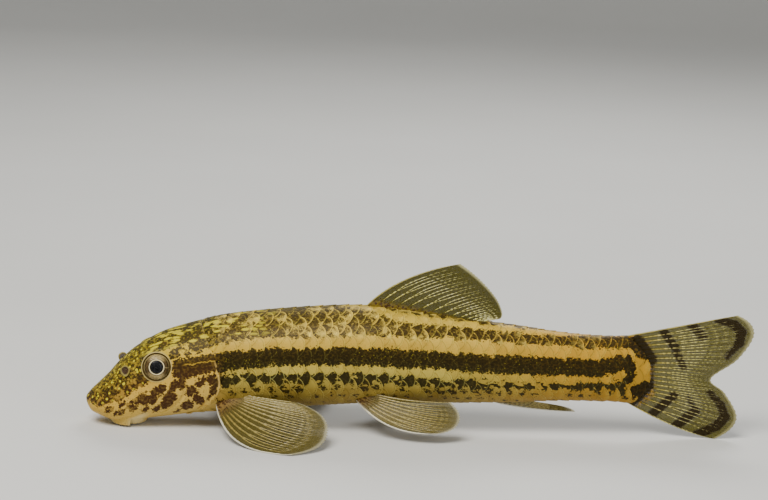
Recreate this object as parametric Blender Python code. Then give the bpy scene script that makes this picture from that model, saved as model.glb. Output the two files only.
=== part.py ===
"""Life-size still model of a small striped stream fish with a bottom-facing mouth.

The fish rests on its lower lip, the spread pectoral fins and the lower lobe of its tail.
Sizes are millimetres and are scaled to metres when a mesh is made. The snout points to -X and
the tail to +X, +Z is up, and the fish's left side faces -Y. The body is a loft of named
stations. The head is bent a little to the fish's left at the nape.
"""
import math

import bmesh
import bpy
import numpy as np
from mathutils import Vector

MM = 0.001
GAP = 0.3               # clearance that neighbouring pieces keep

# How finely the body's lofts are divided: round the section, and along the length.
HEAD_COLUMNS, HEAD_RINGS, HEAD_CROWDING = 36, 14, 1.3
TRUNK_COLUMNS, TRUNK_RINGS = 36, 16
STEM_COLUMNS, STEM_RINGS = 32, 10

# Stations of the body: distance along the straight fish, back, widest level, belly, half width,
# then the fullness of the upper and lower half of the section, where 2 is an ellipse.
SNOUT_TIP = (-45.13, 3.30)
BODY_STATIONS = [
    (-44.5, 4.35, 3.00, 1.75, 1.75, 2.0, 2.0),
    (-43.3, 5.50, 3.10, 1.15, 3.00, 2.0, 2.2),
    (-42.0, 6.80, 3.45, 0.65, 3.75, 2.0, 2.4),
    (-40.6, 8.45, 4.10, 0.38, 4.25, 2.0, 2.6),
    (-38.8, 10.10, 4.90, 0.36, 4.55, 2.1, 2.7),
    (-36.9, 11.35, 5.60, 0.85, 4.80, 2.15, 2.7),
    (-34.6, 12.55, 6.40, 1.10, 5.10, 2.15, 2.6),
    (-31.3, 13.60, 7.20, 1.50, 5.50, 2.1, 2.5),
    (-27.3, 14.70, 8.00, 1.85, 5.75, 2.05, 2.45),
    (-21.9, 15.60, 8.80, 2.35, 5.85, 2.0, 2.4),
    (-14.0, 16.50, 9.60, 3.05, 5.80, 2.0, 2.3),
    (-8.0, 16.85, 10.00, 3.55, 5.65, 2.0, 2.2),
    (-3.0, 16.58, 10.00, 3.85, 5.40, 2.0, 2.1),
    (5.0, 15.60, 9.80, 3.95, 4.60, 2.0, 2.0),
    (12.0, 14.92, 9.60, 4.25, 3.75, 2.0, 2.0),
    (20.0, 14.03, 9.40, 4.73, 2.95, 2.0, 2.0),
    (25.0, 13.83, 9.30, 4.78, 2.35, 2.0, 2.0),
    (28.4, 14.00, 9.25, 4.58, 1.65, 2.0, 2.0),
    (32.0, 14.30, 9.20, 4.35, 0.60, 2.0, 2.0),
]

# The head turns at the nape, over this stretch of the body, towards the fish's left.
TURN_ANGLE = math.radians(8.5)
TURN_START, TURN_END = -26.5, -31.5

# Gill opening, as a distance along the body against the height in the section.
GILL_REAR_X = -26.7
GILL_REAR_LEVEL = -0.16
GILL_UPPER_SLOPE, GILL_ROUNDING = 3.2, 0.2
GILL_LOWER_SLOPE, GILL_LOWER_POWER = 7.7, 1.8

# Gill cover plate, set flush in the side of the head.
COVER_LENGTH, COVER_LENGTH_MIN = 6.0, 1.0
COVER_LEVELS = (-0.72, 0.50)
COVER_PROUD, COVER_DEPTH = 0.22, 0.80

# Eyes, in the straight head.
EYE_X, EYE_SIDE, EYE_Z = -35.95, 3.80, 8.60
EYE_RADIUS, EYE_GAP = 1.88, 0.15
EYE_AXIS = (-0.05, 1.0, 0.20)
RIM_MAJOR, RIM_MINOR, RIM_LIFT = 1.97, 0.22, 0.95

# Nostrils: a low tube with a round flap standing behind it.
NOSTRIL_X, NOSTRIL_SIDE, NOSTRIL_Z = -40.15, 3.35, 7.95
NOSTRIL_OUTWARD, FLAP_FACING = (-0.35, 0.75, 0.62), (0.85, 0.30, 0.10)
TUBE_RADIUS, TUBE_HEIGHT, BORE_RADIUS = 0.66, 0.30, 0.34
FLAP_RADIUS, FLAP_THICK, FLAP_BACK = 0.72, 0.26, 0.42

# Mouth, under the snout: a crescent upper lip round a flat lower lip pad.
PAD_X, PAD_LONG, PAD_WIDE, PAD_HIGH = -38.75, 2.05, 2.75, 1.00
LIP_ARC_LONG, LIP_ARC_WIDE, LIP_SWEEP = 2.80, 3.30, math.radians(78)
LIP_RADIUS, LIP_LEVEL = 0.38, 0.52

# Parting of trunk and tail stem, and the rounded end of the flesh in the tail fin.
STEM_X = 8.6
FLESH_END_X, FLESH_END_BULGE, FLESH_END_TILT = 28.25, 2.8, 0.35

# Key rays of each fin, front to back: root, bend and tip. Between them the rays follow a
# smooth curve. The roots start inside the flesh and are trimmed to its surface. The paired
# fins are given for the right side.
DORSAL_KEYS = [
    ((-7.9, 0, 16.3), (-4.0, 0, 21.2), (4.9, 0, 23.05)),
    ((-3.9, 0, 16.0), (0.4, 0, 19.6), (7.6, 0, 21.1)),
    ((1.6, 0, 15.5), (5.0, 0, 17.6), (9.8, 0, 18.7)),
    ((5.6, 0, 15.1), (8.0, 0, 16.1), (10.75, 0, 16.7)),
    ((7.2, 0, 14.9), (8.8, 0, 15.5), (10.5, 0, 15.75)),
]
ANAL_KEYS = [
    ((8.9, 0, 4.6), (12.0, 0, 3.20), (21.3, 0, 3.10)),
    ((10.7, 0, 4.8), (14.2, 0, 3.85), (20.4, 0, 3.62)),
    ((12.5, 0, 4.9), (15.0, 0, 4.25), (18.2, 0, 4.02)),
]
CAUDAL_KEYS = [
    ((26.2, 0, 13.55), (35.6, 0, 15.65), (42.6, 0, 17.28)),
    ((28.0, 0, 12.5), (36.0, 0, 13.2), (44.95, 0, 15.0)),
    ((29.3, 0, 10.8), (36.0, 0, 11.3), (43.0, 0, 11.3)),
    ((29.8, 0, 9.2), (35.0, 0, 9.1), (39.5, 0, 8.35)),
    ((29.7, 0, 7.6), (35.5, 0, 6.8), (41.6, 0, 6.3)),
    ((29.2, 0, 6.3), (36.5, 0, 4.6), (43.3, 0, 2.8)),
    ((26.8, 0, 5.6), (34.7, 0, 0.95), (40.4, 0, 0.02)),
]
PECTORAL_KEYS = [
    ((-27.2, 4.2, 3.9), (-25.9, 13.6, -0.75), (-16.5, 15.6, 0.25)),
    ((-26.7, 4.2, 4.2), (-23.0, 11.6, 0.9), (-13.1, 13.3, 0.75)),
    ((-26.2, 4.2, 4.5), (-20.5, 9.0, 2.6), (-12.0, 10.9, 2.0)),
    ((-25.7, 4.2, 4.8), (-19.6, 7.4, 4.1), (-12.8, 8.6, 3.6)),
    ((-25.2, 4.2, 5.1), (-20.6, 6.6, 5.1), (-16.2, 6.8, 4.85)),
]
PELVIC_KEYS = [
    ((-8.8, 3.0, 5.0), (-4.9, 7.7, 1.0), (2.2, 8.0, 1.55)),
    ((-8.5, 3.1, 5.3), (-2.6, 7.2, 2.3), (4.8, 7.1, 2.15)),
    ((-8.2, 3.2, 5.6), (-1.6, 6.4, 3.6), (5.5, 6.2, 3.6)),
    ((-7.9, 3.3, 5.9), (-2.2, 5.8, 5.0), (4.2, 5.5, 5.3)),
]

# Each fin's number of rays, its rows of points from root to tip, and half its thickness at the
# root, between the rays, on a ray and at the tip.
DORSAL_SIZES = dict(rays=10, rows=7, root=0.55, membrane=0.25, ridge=0.42, tip=0.22)
ANAL_SIZES = dict(rays=7, rows=6, root=0.45, membrane=0.25, ridge=0.38, tip=0.22)
CAUDAL_SIZES = dict(rays=19, rows=7, root=0.55, membrane=0.25, ridge=0.42, tip=0.22)
PECTORAL_SIZES = dict(rays=13, rows=8, root=0.60, membrane=0.25, ridge=0.42, tip=0.22)
PELVIC_SIZES = dict(rays=9, rows=7, root=0.55, membrane=0.25, ridge=0.40, tip=0.22)
RAY_FLANK = 0.22        # half width of a ray's ridge, as a share of the distance between rays


# Smooth interpolation

def key_slopes(knots, values):
    """Slopes of a smooth curve through values at rising knots."""
    values = np.asarray(values, float)
    slopes = np.empty_like(values)
    slopes[1:-1] = (values[2:] - values[:-2]) / (knots[2:] - knots[:-2])[:, None]
    slopes[0] = 2 * (values[1] - values[0]) / (knots[1] - knots[0]) - slopes[1]
    slopes[-1] = 2 * (values[-1] - values[-2]) / (knots[-1] - knots[-2]) - slopes[-2]
    return slopes


def hermite(knots, values, slopes, at):
    """Value at one place of the cubic that has these values and slopes."""
    span = int(np.clip(np.searchsorted(knots, at) - 1, 0, len(knots) - 2))
    width = knots[span + 1] - knots[span]
    t = (at - knots[span]) / width
    low, high = values[span], values[span + 1]
    rise = (2 * t**3 - 3 * t**2 + 1) * low + (3 * t**2 - 2 * t**3) * high
    lean = (t**3 - 2 * t**2 + t) * slopes[span] + (t**3 - t**2) * slopes[span + 1]
    return rise + width * lean


def dense_stations(steps=24):
    """Station rows at a fine step, with a round end at the tip of the snout."""
    tip_x, tip_z = SNOUT_TIP
    tip = (tip_x, tip_z, tip_z, tip_z, 0.0) + BODY_STATIONS[0][5:]
    rows = np.array([tip] + BODY_STATIONS, float)
    across = np.hypot(np.diff(rows[:, 0]), np.diff(rows[:, 4]) + np.diff(rows[:, 1]))
    knots = np.concatenate([[0.0], np.cumsum(across)])
    slopes = key_slopes(knots, rows)
    first = rows[1]
    mirrored = np.array([first[0], first[3], first[2], first[1], -first[4], first[5], first[6]])
    slopes[0] = (first - mirrored) / (2 * knots[1])
    spread = np.concatenate([np.linspace(a, b, steps, endpoint=False) for a, b in zip(knots, knots[1:])])
    return np.array([hermite(knots, rows, slopes, k) for k in np.append(spread, knots[-1])])


STATIONS = dense_stations()


# The body's surface

def section(x):
    """Back, widest level, belly, half width and both fullness powers at one distance."""
    return [float(np.interp(x, STATIONS[:, 0], STATIONS[:, k])) for k in range(1, 7)]


def powered(value, power):
    return math.copysign(abs(value) ** (2.0 / power), value)


def skin(x, angle, grow=0.0):
    """Point of the straight fish's surface; angle 0 is its right side and 90 degrees its back."""
    back, wide, belly, half, upper, lower = section(x)
    power = upper if math.sin(angle) >= 0 else lower
    reach = (back - wide if math.sin(angle) >= 0 else wide - belly) + grow
    y = (half + grow) * powered(math.cos(angle), power)
    return Vector((x, y, wide + reach * powered(math.sin(angle), power)))


def turned(point):
    """Place of a straight fish's point once the head is turned at the nape."""
    x, y, z = point
    if x >= TURN_START:
        return Vector((x, y, z))
    rate = TURN_ANGLE / (TURN_START - TURN_END)
    angle = min(rate * (TURN_START - x), TURN_ANGLE)
    axis_x = TURN_START - math.sin(angle) / rate
    axis_y = (math.cos(angle) - 1) / rate
    beyond = max(0.0, TURN_END - x)
    axis_x -= beyond * math.cos(angle)
    axis_y -= beyond * math.sin(angle)
    return Vector((axis_x - y * math.sin(angle), axis_y + y * math.cos(angle), z))


def gill_x(angle):
    """Distance along the body of the gill opening at an angle round the section."""
    above = math.sin(angle) - GILL_REAR_LEVEL
    if above >= 0:
        return GILL_REAR_X - GILL_UPPER_SLOPE * (math.hypot(above, GILL_ROUNDING) - GILL_ROUNDING)
    return GILL_REAR_X - GILL_LOWER_SLOPE * (-above) ** GILL_LOWER_POWER


def flesh_end_x(angle):
    """Distance along the body of the end of the flesh in the tail fin."""
    return FLESH_END_X + FLESH_END_BULGE * math.cos(angle) ** 2 - FLESH_END_TILT * math.sin(angle)


# Meshes

def make_object(name, points, faces, turn=False):
    """Closed mesh object from points in millimetres, with its faces turned outwards."""
    mesh = bpy.data.meshes.new(name)
    places = [turned(p) if turn else Vector(p) for p in points]
    mesh.from_pydata([p * MM for p in places], [], faces)
    tidy = bmesh.new()
    tidy.from_mesh(mesh)
    bmesh.ops.recalc_face_normals(tidy, faces=tidy.faces)
    if tidy.calc_volume(signed=True) < 0:
        bmesh.ops.reverse_faces(tidy, faces=tidy.faces)
    tidy.to_mesh(mesh)
    tidy.free()
    result = bpy.data.objects.new(name, mesh)
    bpy.context.collection.objects.link(result)
    return result


def grid_faces(rows, columns, start=0, wrap=False):
    """Triangles of a grid of points, all split along the same diagonal."""
    faces = []
    for i in range(rows - 1):
        for j in range(columns if wrap else columns - 1):
            k = (j + 1) % columns
            a, b = start + i * columns + j, start + i * columns + k
            c, d = a + columns, b + columns
            faces += [(a, b, d), (a, d, c)]
    return faces


def loft(name, start_x, end_x, rings, columns, grow=0.0, turn=False, closed_front=True):
    """Length of the body between two warped rings; start_x and end_x take the angle."""
    angles = [2 * math.pi * (j + 0.5) / columns for j in range(columns)]
    points = []
    for share in rings:
        for angle in angles:
            low, high = start_x(angle), end_x(angle)
            points.append(skin(low + (high - low) * share, angle, grow))
    faces = grid_faces(len(rings), columns, wrap=True)
    ends = [(len(rings) - 1) * columns]
    if closed_front:
        ends.append(0)
    else:
        tip_x, tip_z = SNOUT_TIP
        points.append(Vector((tip_x, 0, tip_z)))
        faces += [(j, (j + 1) % columns, len(points) - 1) for j in range(columns)]
    for first in ends:
        ring = points[first:first + columns]
        points.append(sum(ring, Vector()) / columns)
        faces += [(first + j, first + (j + 1) % columns, len(points) - 1) for j in range(columns)]
    return make_object(name, points, faces, turn)


def zipped_loft(name, start_x, end_x, rings, columns, grow=0.0):
    """Length of the body whose rear end is closed from side to side, level by level."""
    angles = [2 * math.pi * (j + 0.5) / columns for j in range(columns)]
    points = []
    for share in rings:
        for angle in angles:
            low, high = start_x(angle), end_x(angle)
            points.append(skin(low + (high - low) * share, angle, grow))
    faces = grid_faces(len(rings), columns, wrap=True)
    last = (len(rings) - 1) * columns
    quarter = columns // 4
    for j in range(-quarter, quarter - 1):
        right, up = last + j % columns, last + (j + 1) % columns
        left, left_up = last + (columns // 2 - 1 - j) % columns, last + (columns // 2 - 2 - j) % columns
        faces += [(right, up, left_up), (right, left_up, left)]
    points.append(sum(points[:columns], Vector()) / columns)
    faces += [(j, (j + 1) % columns, len(points) - 1) for j in range(columns)]
    return make_object(name, points, faces)


def largest_body(target):
    """Keeps only the largest closed surface of a mesh object and splits it into triangles."""
    mesh = target.data
    work = bmesh.new()
    work.from_mesh(mesh)
    bmesh.ops.triangulate(work, faces=work.faces)
    left = set(work.faces)
    groups = []
    while left:
        queue, group = [left.pop()], []
        while queue:
            face = queue.pop()
            group.append(face)
            for edge in face.edges:
                for other in edge.link_faces:
                    if other in left:
                        left.remove(other)
                        queue.append(other)
        groups.append(group)
    groups.sort(key=len, reverse=True)
    scraps = [face for group in groups[1:] for face in group]
    if scraps:
        bmesh.ops.delete(work, geom=scraps, context="FACES")
    work.to_mesh(mesh)
    work.free()


def carve(target, tools, operation="DIFFERENCE", solver="EXACT"):
    """Cuts or joins all tools into the target at once, and removes them."""
    group = bpy.data.collections.new(target.name + "_tools")
    bpy.context.scene.collection.children.link(group)
    for tool in tools:
        group.objects.link(tool)
    modifier = target.modifiers.new(operation.lower(), "BOOLEAN")
    modifier.operation = operation
    modifier.operand_type = "COLLECTION"
    modifier.collection = group
    modifier.solver = solver
    bpy.context.view_layer.update()
    result = target.evaluated_get(bpy.context.evaluated_depsgraph_get())
    mesh = bpy.data.meshes.new_from_object(result)
    target.modifiers.clear()
    target.data = mesh
    for tool in tools:
        bpy.data.objects.remove(tool)
    bpy.data.collections.remove(group)
    largest_body(target)


def place_head_piece(piece):
    """Turns a piece made in the straight head to its place in the turned one."""
    for vertex in piece.data.vertices:
        vertex.co = turned(vertex.co / MM) * MM


# Head

def ball(name, centre, radius, segments=18, rings=11, axis=(0, 0, 1), flat=1.0):
    """Ball whose poles lie on an axis, along which it may be flattened."""
    aim = Vector((0, 0, 1)).rotation_difference(Vector(axis).normalized()).to_matrix()
    points = []
    for i in range(1, rings):
        tilt = math.pi * i / rings
        for j in range(segments):
            angle = 2 * math.pi * j / segments
            out = Vector((math.sin(tilt) * math.cos(angle), math.sin(tilt) * math.sin(angle),
                          math.cos(tilt) * flat))
            points.append(Vector(centre) + radius * (aim @ out))
    faces = grid_faces(rings - 1, segments, wrap=True)
    for first, way in ((0, 1), ((rings - 2) * segments, -1)):
        points.append(Vector(centre) + aim @ Vector((0, 0, way * radius * flat)))
        faces += [(first + j, first + (j + 1) % segments, len(points) - 1) for j in range(segments)]
    return make_object(name, points, faces)


def tube_ring(name, centre, axis, major, minor, segments=22, sides=6):
    """Closed ring of round section about an axis."""
    aim = Vector((0, 0, 1)).rotation_difference(Vector(axis).normalized()).to_matrix()
    points = []
    for i in range(segments):
        angle = 2 * math.pi * i / segments
        outward = Vector((math.cos(angle), math.sin(angle), 0))
        for j in range(sides):
            turn = 2 * math.pi * j / sides
            local = outward * (major + minor * math.cos(turn)) + Vector((0, 0, minor * math.sin(turn)))
            points.append(Vector(centre) + aim @ local)
    faces = []
    for i in range(segments):
        for j in range(sides):
            a, b = i * sides + j, i * sides + (j + 1) % sides
            c = ((i + 1) % segments) * sides + j
            d = ((i + 1) % segments) * sides + (j + 1) % sides
            faces += [(a, b, d), (a, d, c)]
    return make_object(name, points, faces)


def drum(name, centre, axis, radius, length, segments=10):
    """Closed round bar about an axis, centred on its length."""
    aim = Vector((0, 0, 1)).rotation_difference(Vector(axis).normalized()).to_matrix()
    points = []
    for end in (-0.5, 0.5):
        for j in range(segments):
            angle = 2 * math.pi * j / segments
            local = Vector((radius * math.cos(angle), radius * math.sin(angle), end * length))
            points.append(Vector(centre) + aim @ local)
    faces = grid_faces(2, segments, wrap=True)
    faces += [tuple(range(segments)), tuple(range(segments, 2 * segments))]
    return make_object(name, points, faces)


def cover_plate(name, side, grow=0.0, along=6, up=10):
    """Gill cover of one side, as a plate that follows the head's surface."""
    low, high = COVER_LEVELS
    reach = grow / 6.0
    points = []
    for lift in (COVER_PROUD + grow, -COVER_DEPTH - grow):
        for j in range(up):
            share = j / (up - 1)
            level = (low - reach) + (high - low + 2 * reach) * share
            angle = math.asin(level)
            if side < 0:
                angle = math.pi - angle
            rounding = (1 - abs(2 * share - 1) ** 2.6) ** (1 / 2.6)
            length = COVER_LENGTH_MIN + (COVER_LENGTH - COVER_LENGTH_MIN) * rounding + grow
            rear = gill_x(angle) + (1.5 if grow else 0.0)
            front = gill_x(angle) - length
            for i in range(along):
                points.append(skin(front + (rear - front) * i / (along - 1), angle, lift))
    count = along * up
    faces = grid_faces(up, along) + grid_faces(up, along, start=count)
    edge = [i for i in range(along)]
    edge += [j * along + along - 1 for j in range(1, up)]
    edge += [(up - 1) * along + i for i in range(along - 2, -1, -1)]
    edge += [j * along for j in range(up - 2, 0, -1)]
    for a, b in zip(edge, edge[1:] + edge[:1]):
        faces += [(a, b, b + count), (a, b + count, a + count)]
    return make_object(name, points, faces)


def lower_lip_pad(name, grow=0.0, segments=20, rings=7):
    """Flat oval pad under the mouth, with a level underside where the fish rests on it."""
    points = []
    floor = 0.0 if grow == 0 else -2.0
    for i in range(1, rings):
        tilt = math.pi * i / rings
        for j in range(segments):
            angle = 2 * math.pi * j / segments
            out = math.sin(tilt) ** 0.7
            x = PAD_X + (PAD_LONG + grow) * out * math.cos(angle)
            y = (PAD_WIDE + grow) * out * math.sin(angle)
            z = PAD_HIGH * 0.5 + (PAD_HIGH * 0.62 + grow) * math.cos(tilt)
            points.append(Vector((x, y, max(z, floor))))
    faces = grid_faces(rings - 1, segments, wrap=True)
    top = PAD_HIGH * 1.12 + grow
    bottom = max(PAD_HIGH * -0.12 - grow, floor)
    for first, z in ((0, top), ((rings - 2) * segments, bottom)):
        points.append(Vector((PAD_X, 0, z)))
        faces += [(first + j, first + (j + 1) % segments, len(points) - 1) for j in range(segments)]
    return make_object(name, points, faces)


def upper_lip_crescent(name, grow=0.0, segments=14, sides=7):
    """Crescent lip round the front of the mouth, thinner at its two corners."""
    points = []
    for i in range(segments + 1):
        share = 2 * i / segments - 1
        angle = share * LIP_SWEEP
        taper = 1 - 0.45 * share**2
        centre = Vector((PAD_X - LIP_ARC_LONG * math.cos(angle), LIP_ARC_WIDE * math.sin(angle), LIP_LEVEL))
        outward = Vector((-math.cos(angle) * LIP_ARC_WIDE, math.sin(angle) * LIP_ARC_LONG, 0)).normalized()
        for j in range(sides):
            turn = 2 * math.pi * j / sides
            radius = LIP_RADIUS * taper + grow
            points.append(centre + radius * (math.cos(turn) * outward + Vector((0, 0, math.sin(turn)))))
    faces = grid_faces(segments + 1, sides, wrap=True)
    for first, way in ((0, -1), (segments * sides, 1)):
        ring = points[first:first + sides]
        tangent = Vector((math.sin(LIP_SWEEP), way * math.cos(LIP_SWEEP), 0)) * (0.3 + grow)
        points.append(sum(ring, Vector()) / sides + tangent)
        faces += [(first + j, first + (j + 1) % sides, len(points) - 1) for j in range(sides)]
    return make_object(name, points, faces)


def side_point(point, side):
    return Vector((point[0], side * point[1], point[2]))


def make_head():
    rings = [((i + 1) / HEAD_RINGS) ** HEAD_CROWDING for i in range(HEAD_RINGS)]
    head = loft("head", lambda angle: SNOUT_TIP[0], gill_x, rings, HEAD_COLUMNS, closed_front=False)
    added, cut = [], []
    for side in (-1, 1):
        axis = side_point(EYE_AXIS, side).normalized()
        centre = side_point((EYE_X, EYE_SIDE, EYE_Z), side)
        rim_centre = centre + axis * RIM_LIFT
        added.append(tube_ring("rim", rim_centre, axis, RIM_MAJOR, RIM_MINOR))
        cut.append(ball("socket", centre, EYE_RADIUS + EYE_GAP, axis=axis))
        cut.append(cover_plate("cover_pocket", side, grow=GAP))
        nostril = side_point((NOSTRIL_X, NOSTRIL_SIDE, NOSTRIL_Z), side)
        out = side_point(NOSTRIL_OUTWARD, side).normalized()
        facing = side_point(FLAP_FACING, side).normalized()
        back = (facing - out * facing.dot(out)).normalized()
        added.append(drum("tube", nostril, out, TUBE_RADIUS, 2 * TUBE_HEIGHT))
        added.append(ball("flap", nostril + back * FLAP_BACK + out * FLAP_RADIUS * 0.45, FLAP_RADIUS,
                          segments=10, rings=6, axis=facing, flat=FLAP_THICK / FLAP_RADIUS))
        bore_middle = nostril - back * 0.12 + out * TUBE_HEIGHT
        cut.append(drum("bore", bore_middle, out, BORE_RADIUS, 3 * TUBE_HEIGHT))
    cut.append(lower_lip_pad("pad_pocket", grow=GAP))
    cut.append(upper_lip_crescent("lip_pocket", grow=GAP))
    carve(head, added, "UNION")
    carve(head, cut)
    place_head_piece(head)
    return head


def make_mouth():
    upper = upper_lip_crescent("upper_lip")
    lower = lower_lip_pad("lower_lip")
    carve(upper, [lower_lip_pad("pad_clearance", grow=GAP)])
    for piece in (upper, lower):
        place_head_piece(piece)
    return upper, lower


def make_eye(name, side):
    eye = ball(name, (0, 0, 0), EYE_RADIUS, segments=20, rings=12, axis=side_point(EYE_AXIS, side))
    eye.location = turned((EYE_X, side * EYE_SIDE, EYE_Z)) * MM
    eye.rotation_euler = (0, 0, TURN_ANGLE)
    return eye


def make_gill_cover(name, side):
    cover = cover_plate(name, side)
    place_head_piece(cover)
    return cover


# Trunk and tail stem

def make_trunk():
    rings = [i / TRUNK_RINGS for i in range(TRUNK_RINGS + 1)]
    return loft("trunk", lambda angle: gill_x(angle) + GAP + 0.05, lambda angle: STEM_X,
                rings, TRUNK_COLUMNS, turn=True)


def make_tail_stem():
    rings = [i / STEM_RINGS for i in range(STEM_RINGS + 1)]
    return zipped_loft("tail_stem", lambda angle: STEM_X + GAP, flesh_end_x, rings, STEM_COLUMNS)


# Fins

def ray_point(keys, across, along):
    """Point of a fin: across runs over the rays, along runs from root to tip."""
    knots = np.linspace(0, 1, len(keys))
    rows = np.array(keys, float).reshape(len(keys), 9)
    root, bend, tip = hermite(knots, rows, key_slopes(knots, rows), across).reshape(3, 3)
    return Vector((1 - along) ** 2 * root + 2 * along * (1 - along) * bend + along**2 * tip)


def ray_normal(keys, across, along):
    step = 0.01
    low, high = max(0.0, across - step), min(1.0, across + step)
    near, far = max(0.0, along - step), min(1.0, along + step)
    over = ray_point(keys, high, along) - ray_point(keys, low, along)
    out = ray_point(keys, across, far) - ray_point(keys, across, near)
    return over.cross(out).normalized()


def fin(name, keys, rays, rows, root, membrane, ridge, tip):
    """Fin membrane with a ridge on both faces for each ray, no lower than the floor."""
    columns = []
    for i in range(rays):
        centre = i / (rays - 1)
        flank = RAY_FLANK / (rays - 1)
        for offset, is_ridge in ((-flank, False), (0.0, True), (flank, False)):
            if 0 <= centre + offset <= 1:
                columns.append((centre + offset, is_ridge))
    faces_points = ([], [])
    for i in range(rows):
        along = (i / (rows - 1)) ** 0.9
        for across, is_ridge in columns:
            middle = ray_point(keys, across, along)
            normal = ray_normal(keys, across, along)
            half = (ridge if is_ridge else membrane) * (1 - along) + tip * along
            half += (root - half) * (1 - along) ** 4
            for k, way in ((0, 1), (1, -1)):
                point = middle + normal * half * way
                point.z = max(point.z, 0.0)
                faces_points[k].append(point)
    points = faces_points[0] + faces_points[1]
    width, count = len(columns), len(faces_points[0])
    faces = grid_faces(rows, width) + grid_faces(rows, width, start=count)
    edge = list(range(width)) + [i * width + width - 1 for i in range(1, rows)]
    edge += [(rows - 1) * width + j for j in range(width - 2, -1, -1)]
    edge += [i * width for i in range(rows - 2, 0, -1)]
    for a, b in zip(edge, edge[1:] + edge[:1]):
        faces += [(a, b, b + count), (a, b + count, a + count)]
    return make_object(name, points, faces)


def body_sheath():
    """The flesh behind the gill opening, grown by the gap, which trims the roots of the fins."""
    rings = [i / 24 for i in range(25)]
    return zipped_loft("sheath", lambda angle: gill_x(angle) - 2.0, lambda angle: flesh_end_x(angle) + GAP,
                       rings, 48, grow=GAP)


def mirrored_keys(keys, side):
    return [tuple(side_point(point, side) for point in key) for key in keys]


def make_fin(name, keys, sizes, colour_name):
    result = fin(name, keys, **sizes)
    carve(result, [body_sheath()])
    finish(result, colour_name)


# Finishes

COLOURS = {
    "back_skin": ((0.20, 0.15, 0.06, 1), 0.45),
    "flank_skin": ((0.30, 0.22, 0.08, 1), 0.42),
    "tail_skin": ((0.34, 0.23, 0.07, 1), 0.42),
    "cover_skin": ((0.28, 0.17, 0.09, 1), 0.40),
    "lip_skin": ((0.62, 0.54, 0.34, 1), 0.45),
    "eye": ((0.05, 0.045, 0.04, 1), 0.12),
    "clear_fin": ((0.45, 0.42, 0.24, 1), 0.35),
    "tail_fin": ((0.42, 0.38, 0.16, 1), 0.35),
}


def finish(piece, colour_name):
    colour, roughness = COLOURS[colour_name]
    material = bpy.data.materials.get(colour_name) or bpy.data.materials.new(colour_name)
    material.use_nodes = True
    shader = material.node_tree.nodes["Principled BSDF"]
    shader.inputs["Base Color"].default_value = colour
    shader.inputs["Roughness"].default_value = roughness
    shader.inputs["Metallic"].default_value = 0.0
    piece.data.materials.clear()
    piece.data.materials.append(material)
    piece.data.shade_smooth()
    piece.data.set_sharp_from_angle(angle=math.radians(40))


def clear_scene():
    for old in list(bpy.data.objects):
        bpy.data.objects.remove(old)


def main():
    clear_scene()
    finish(make_head(), "back_skin")
    for lip in make_mouth():
        finish(lip, "lip_skin")
    for side, word in ((-1, "left"), (1, "right")):
        finish(make_eye("eye_" + word, side), "eye")
        finish(make_gill_cover("gill_cover_" + word, side), "cover_skin")
        make_fin("pectoral_fin_" + word, mirrored_keys(PECTORAL_KEYS, side), PECTORAL_SIZES, "clear_fin")
        make_fin("pelvic_fin_" + word, mirrored_keys(PELVIC_KEYS, side), PELVIC_SIZES, "clear_fin")
    finish(make_trunk(), "flank_skin")
    finish(make_tail_stem(), "tail_skin")
    make_fin("dorsal_fin", DORSAL_KEYS, DORSAL_SIZES, "clear_fin")
    make_fin("anal_fin", ANAL_KEYS, ANAL_SIZES, "clear_fin")
    make_fin("caudal_fin", CAUDAL_KEYS, CAUDAL_SIZES, "tail_fin")


main()
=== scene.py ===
# Looks of the striped stream fish: one skin, overlapping scales, rayed fins and clear eyes
import math
import bmesh
import bpy
import numpy as np
from mathutils import Matrix, Vector


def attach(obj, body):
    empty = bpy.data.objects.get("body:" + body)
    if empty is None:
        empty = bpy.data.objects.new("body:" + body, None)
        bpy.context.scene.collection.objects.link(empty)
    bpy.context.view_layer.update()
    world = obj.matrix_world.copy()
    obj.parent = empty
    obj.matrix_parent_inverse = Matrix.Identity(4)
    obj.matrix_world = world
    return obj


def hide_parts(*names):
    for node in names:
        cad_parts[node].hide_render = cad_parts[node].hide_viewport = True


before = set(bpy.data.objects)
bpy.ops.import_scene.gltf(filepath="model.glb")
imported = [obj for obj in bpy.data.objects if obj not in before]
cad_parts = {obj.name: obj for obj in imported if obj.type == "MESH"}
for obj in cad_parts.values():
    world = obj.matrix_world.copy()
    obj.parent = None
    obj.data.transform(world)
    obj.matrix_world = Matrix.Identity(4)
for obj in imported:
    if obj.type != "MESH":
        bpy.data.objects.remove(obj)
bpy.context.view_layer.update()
mm = 0.001                       # sizes below are millimetres


class Settings(dict):
    __getattr__ = dict.__getitem__


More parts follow.
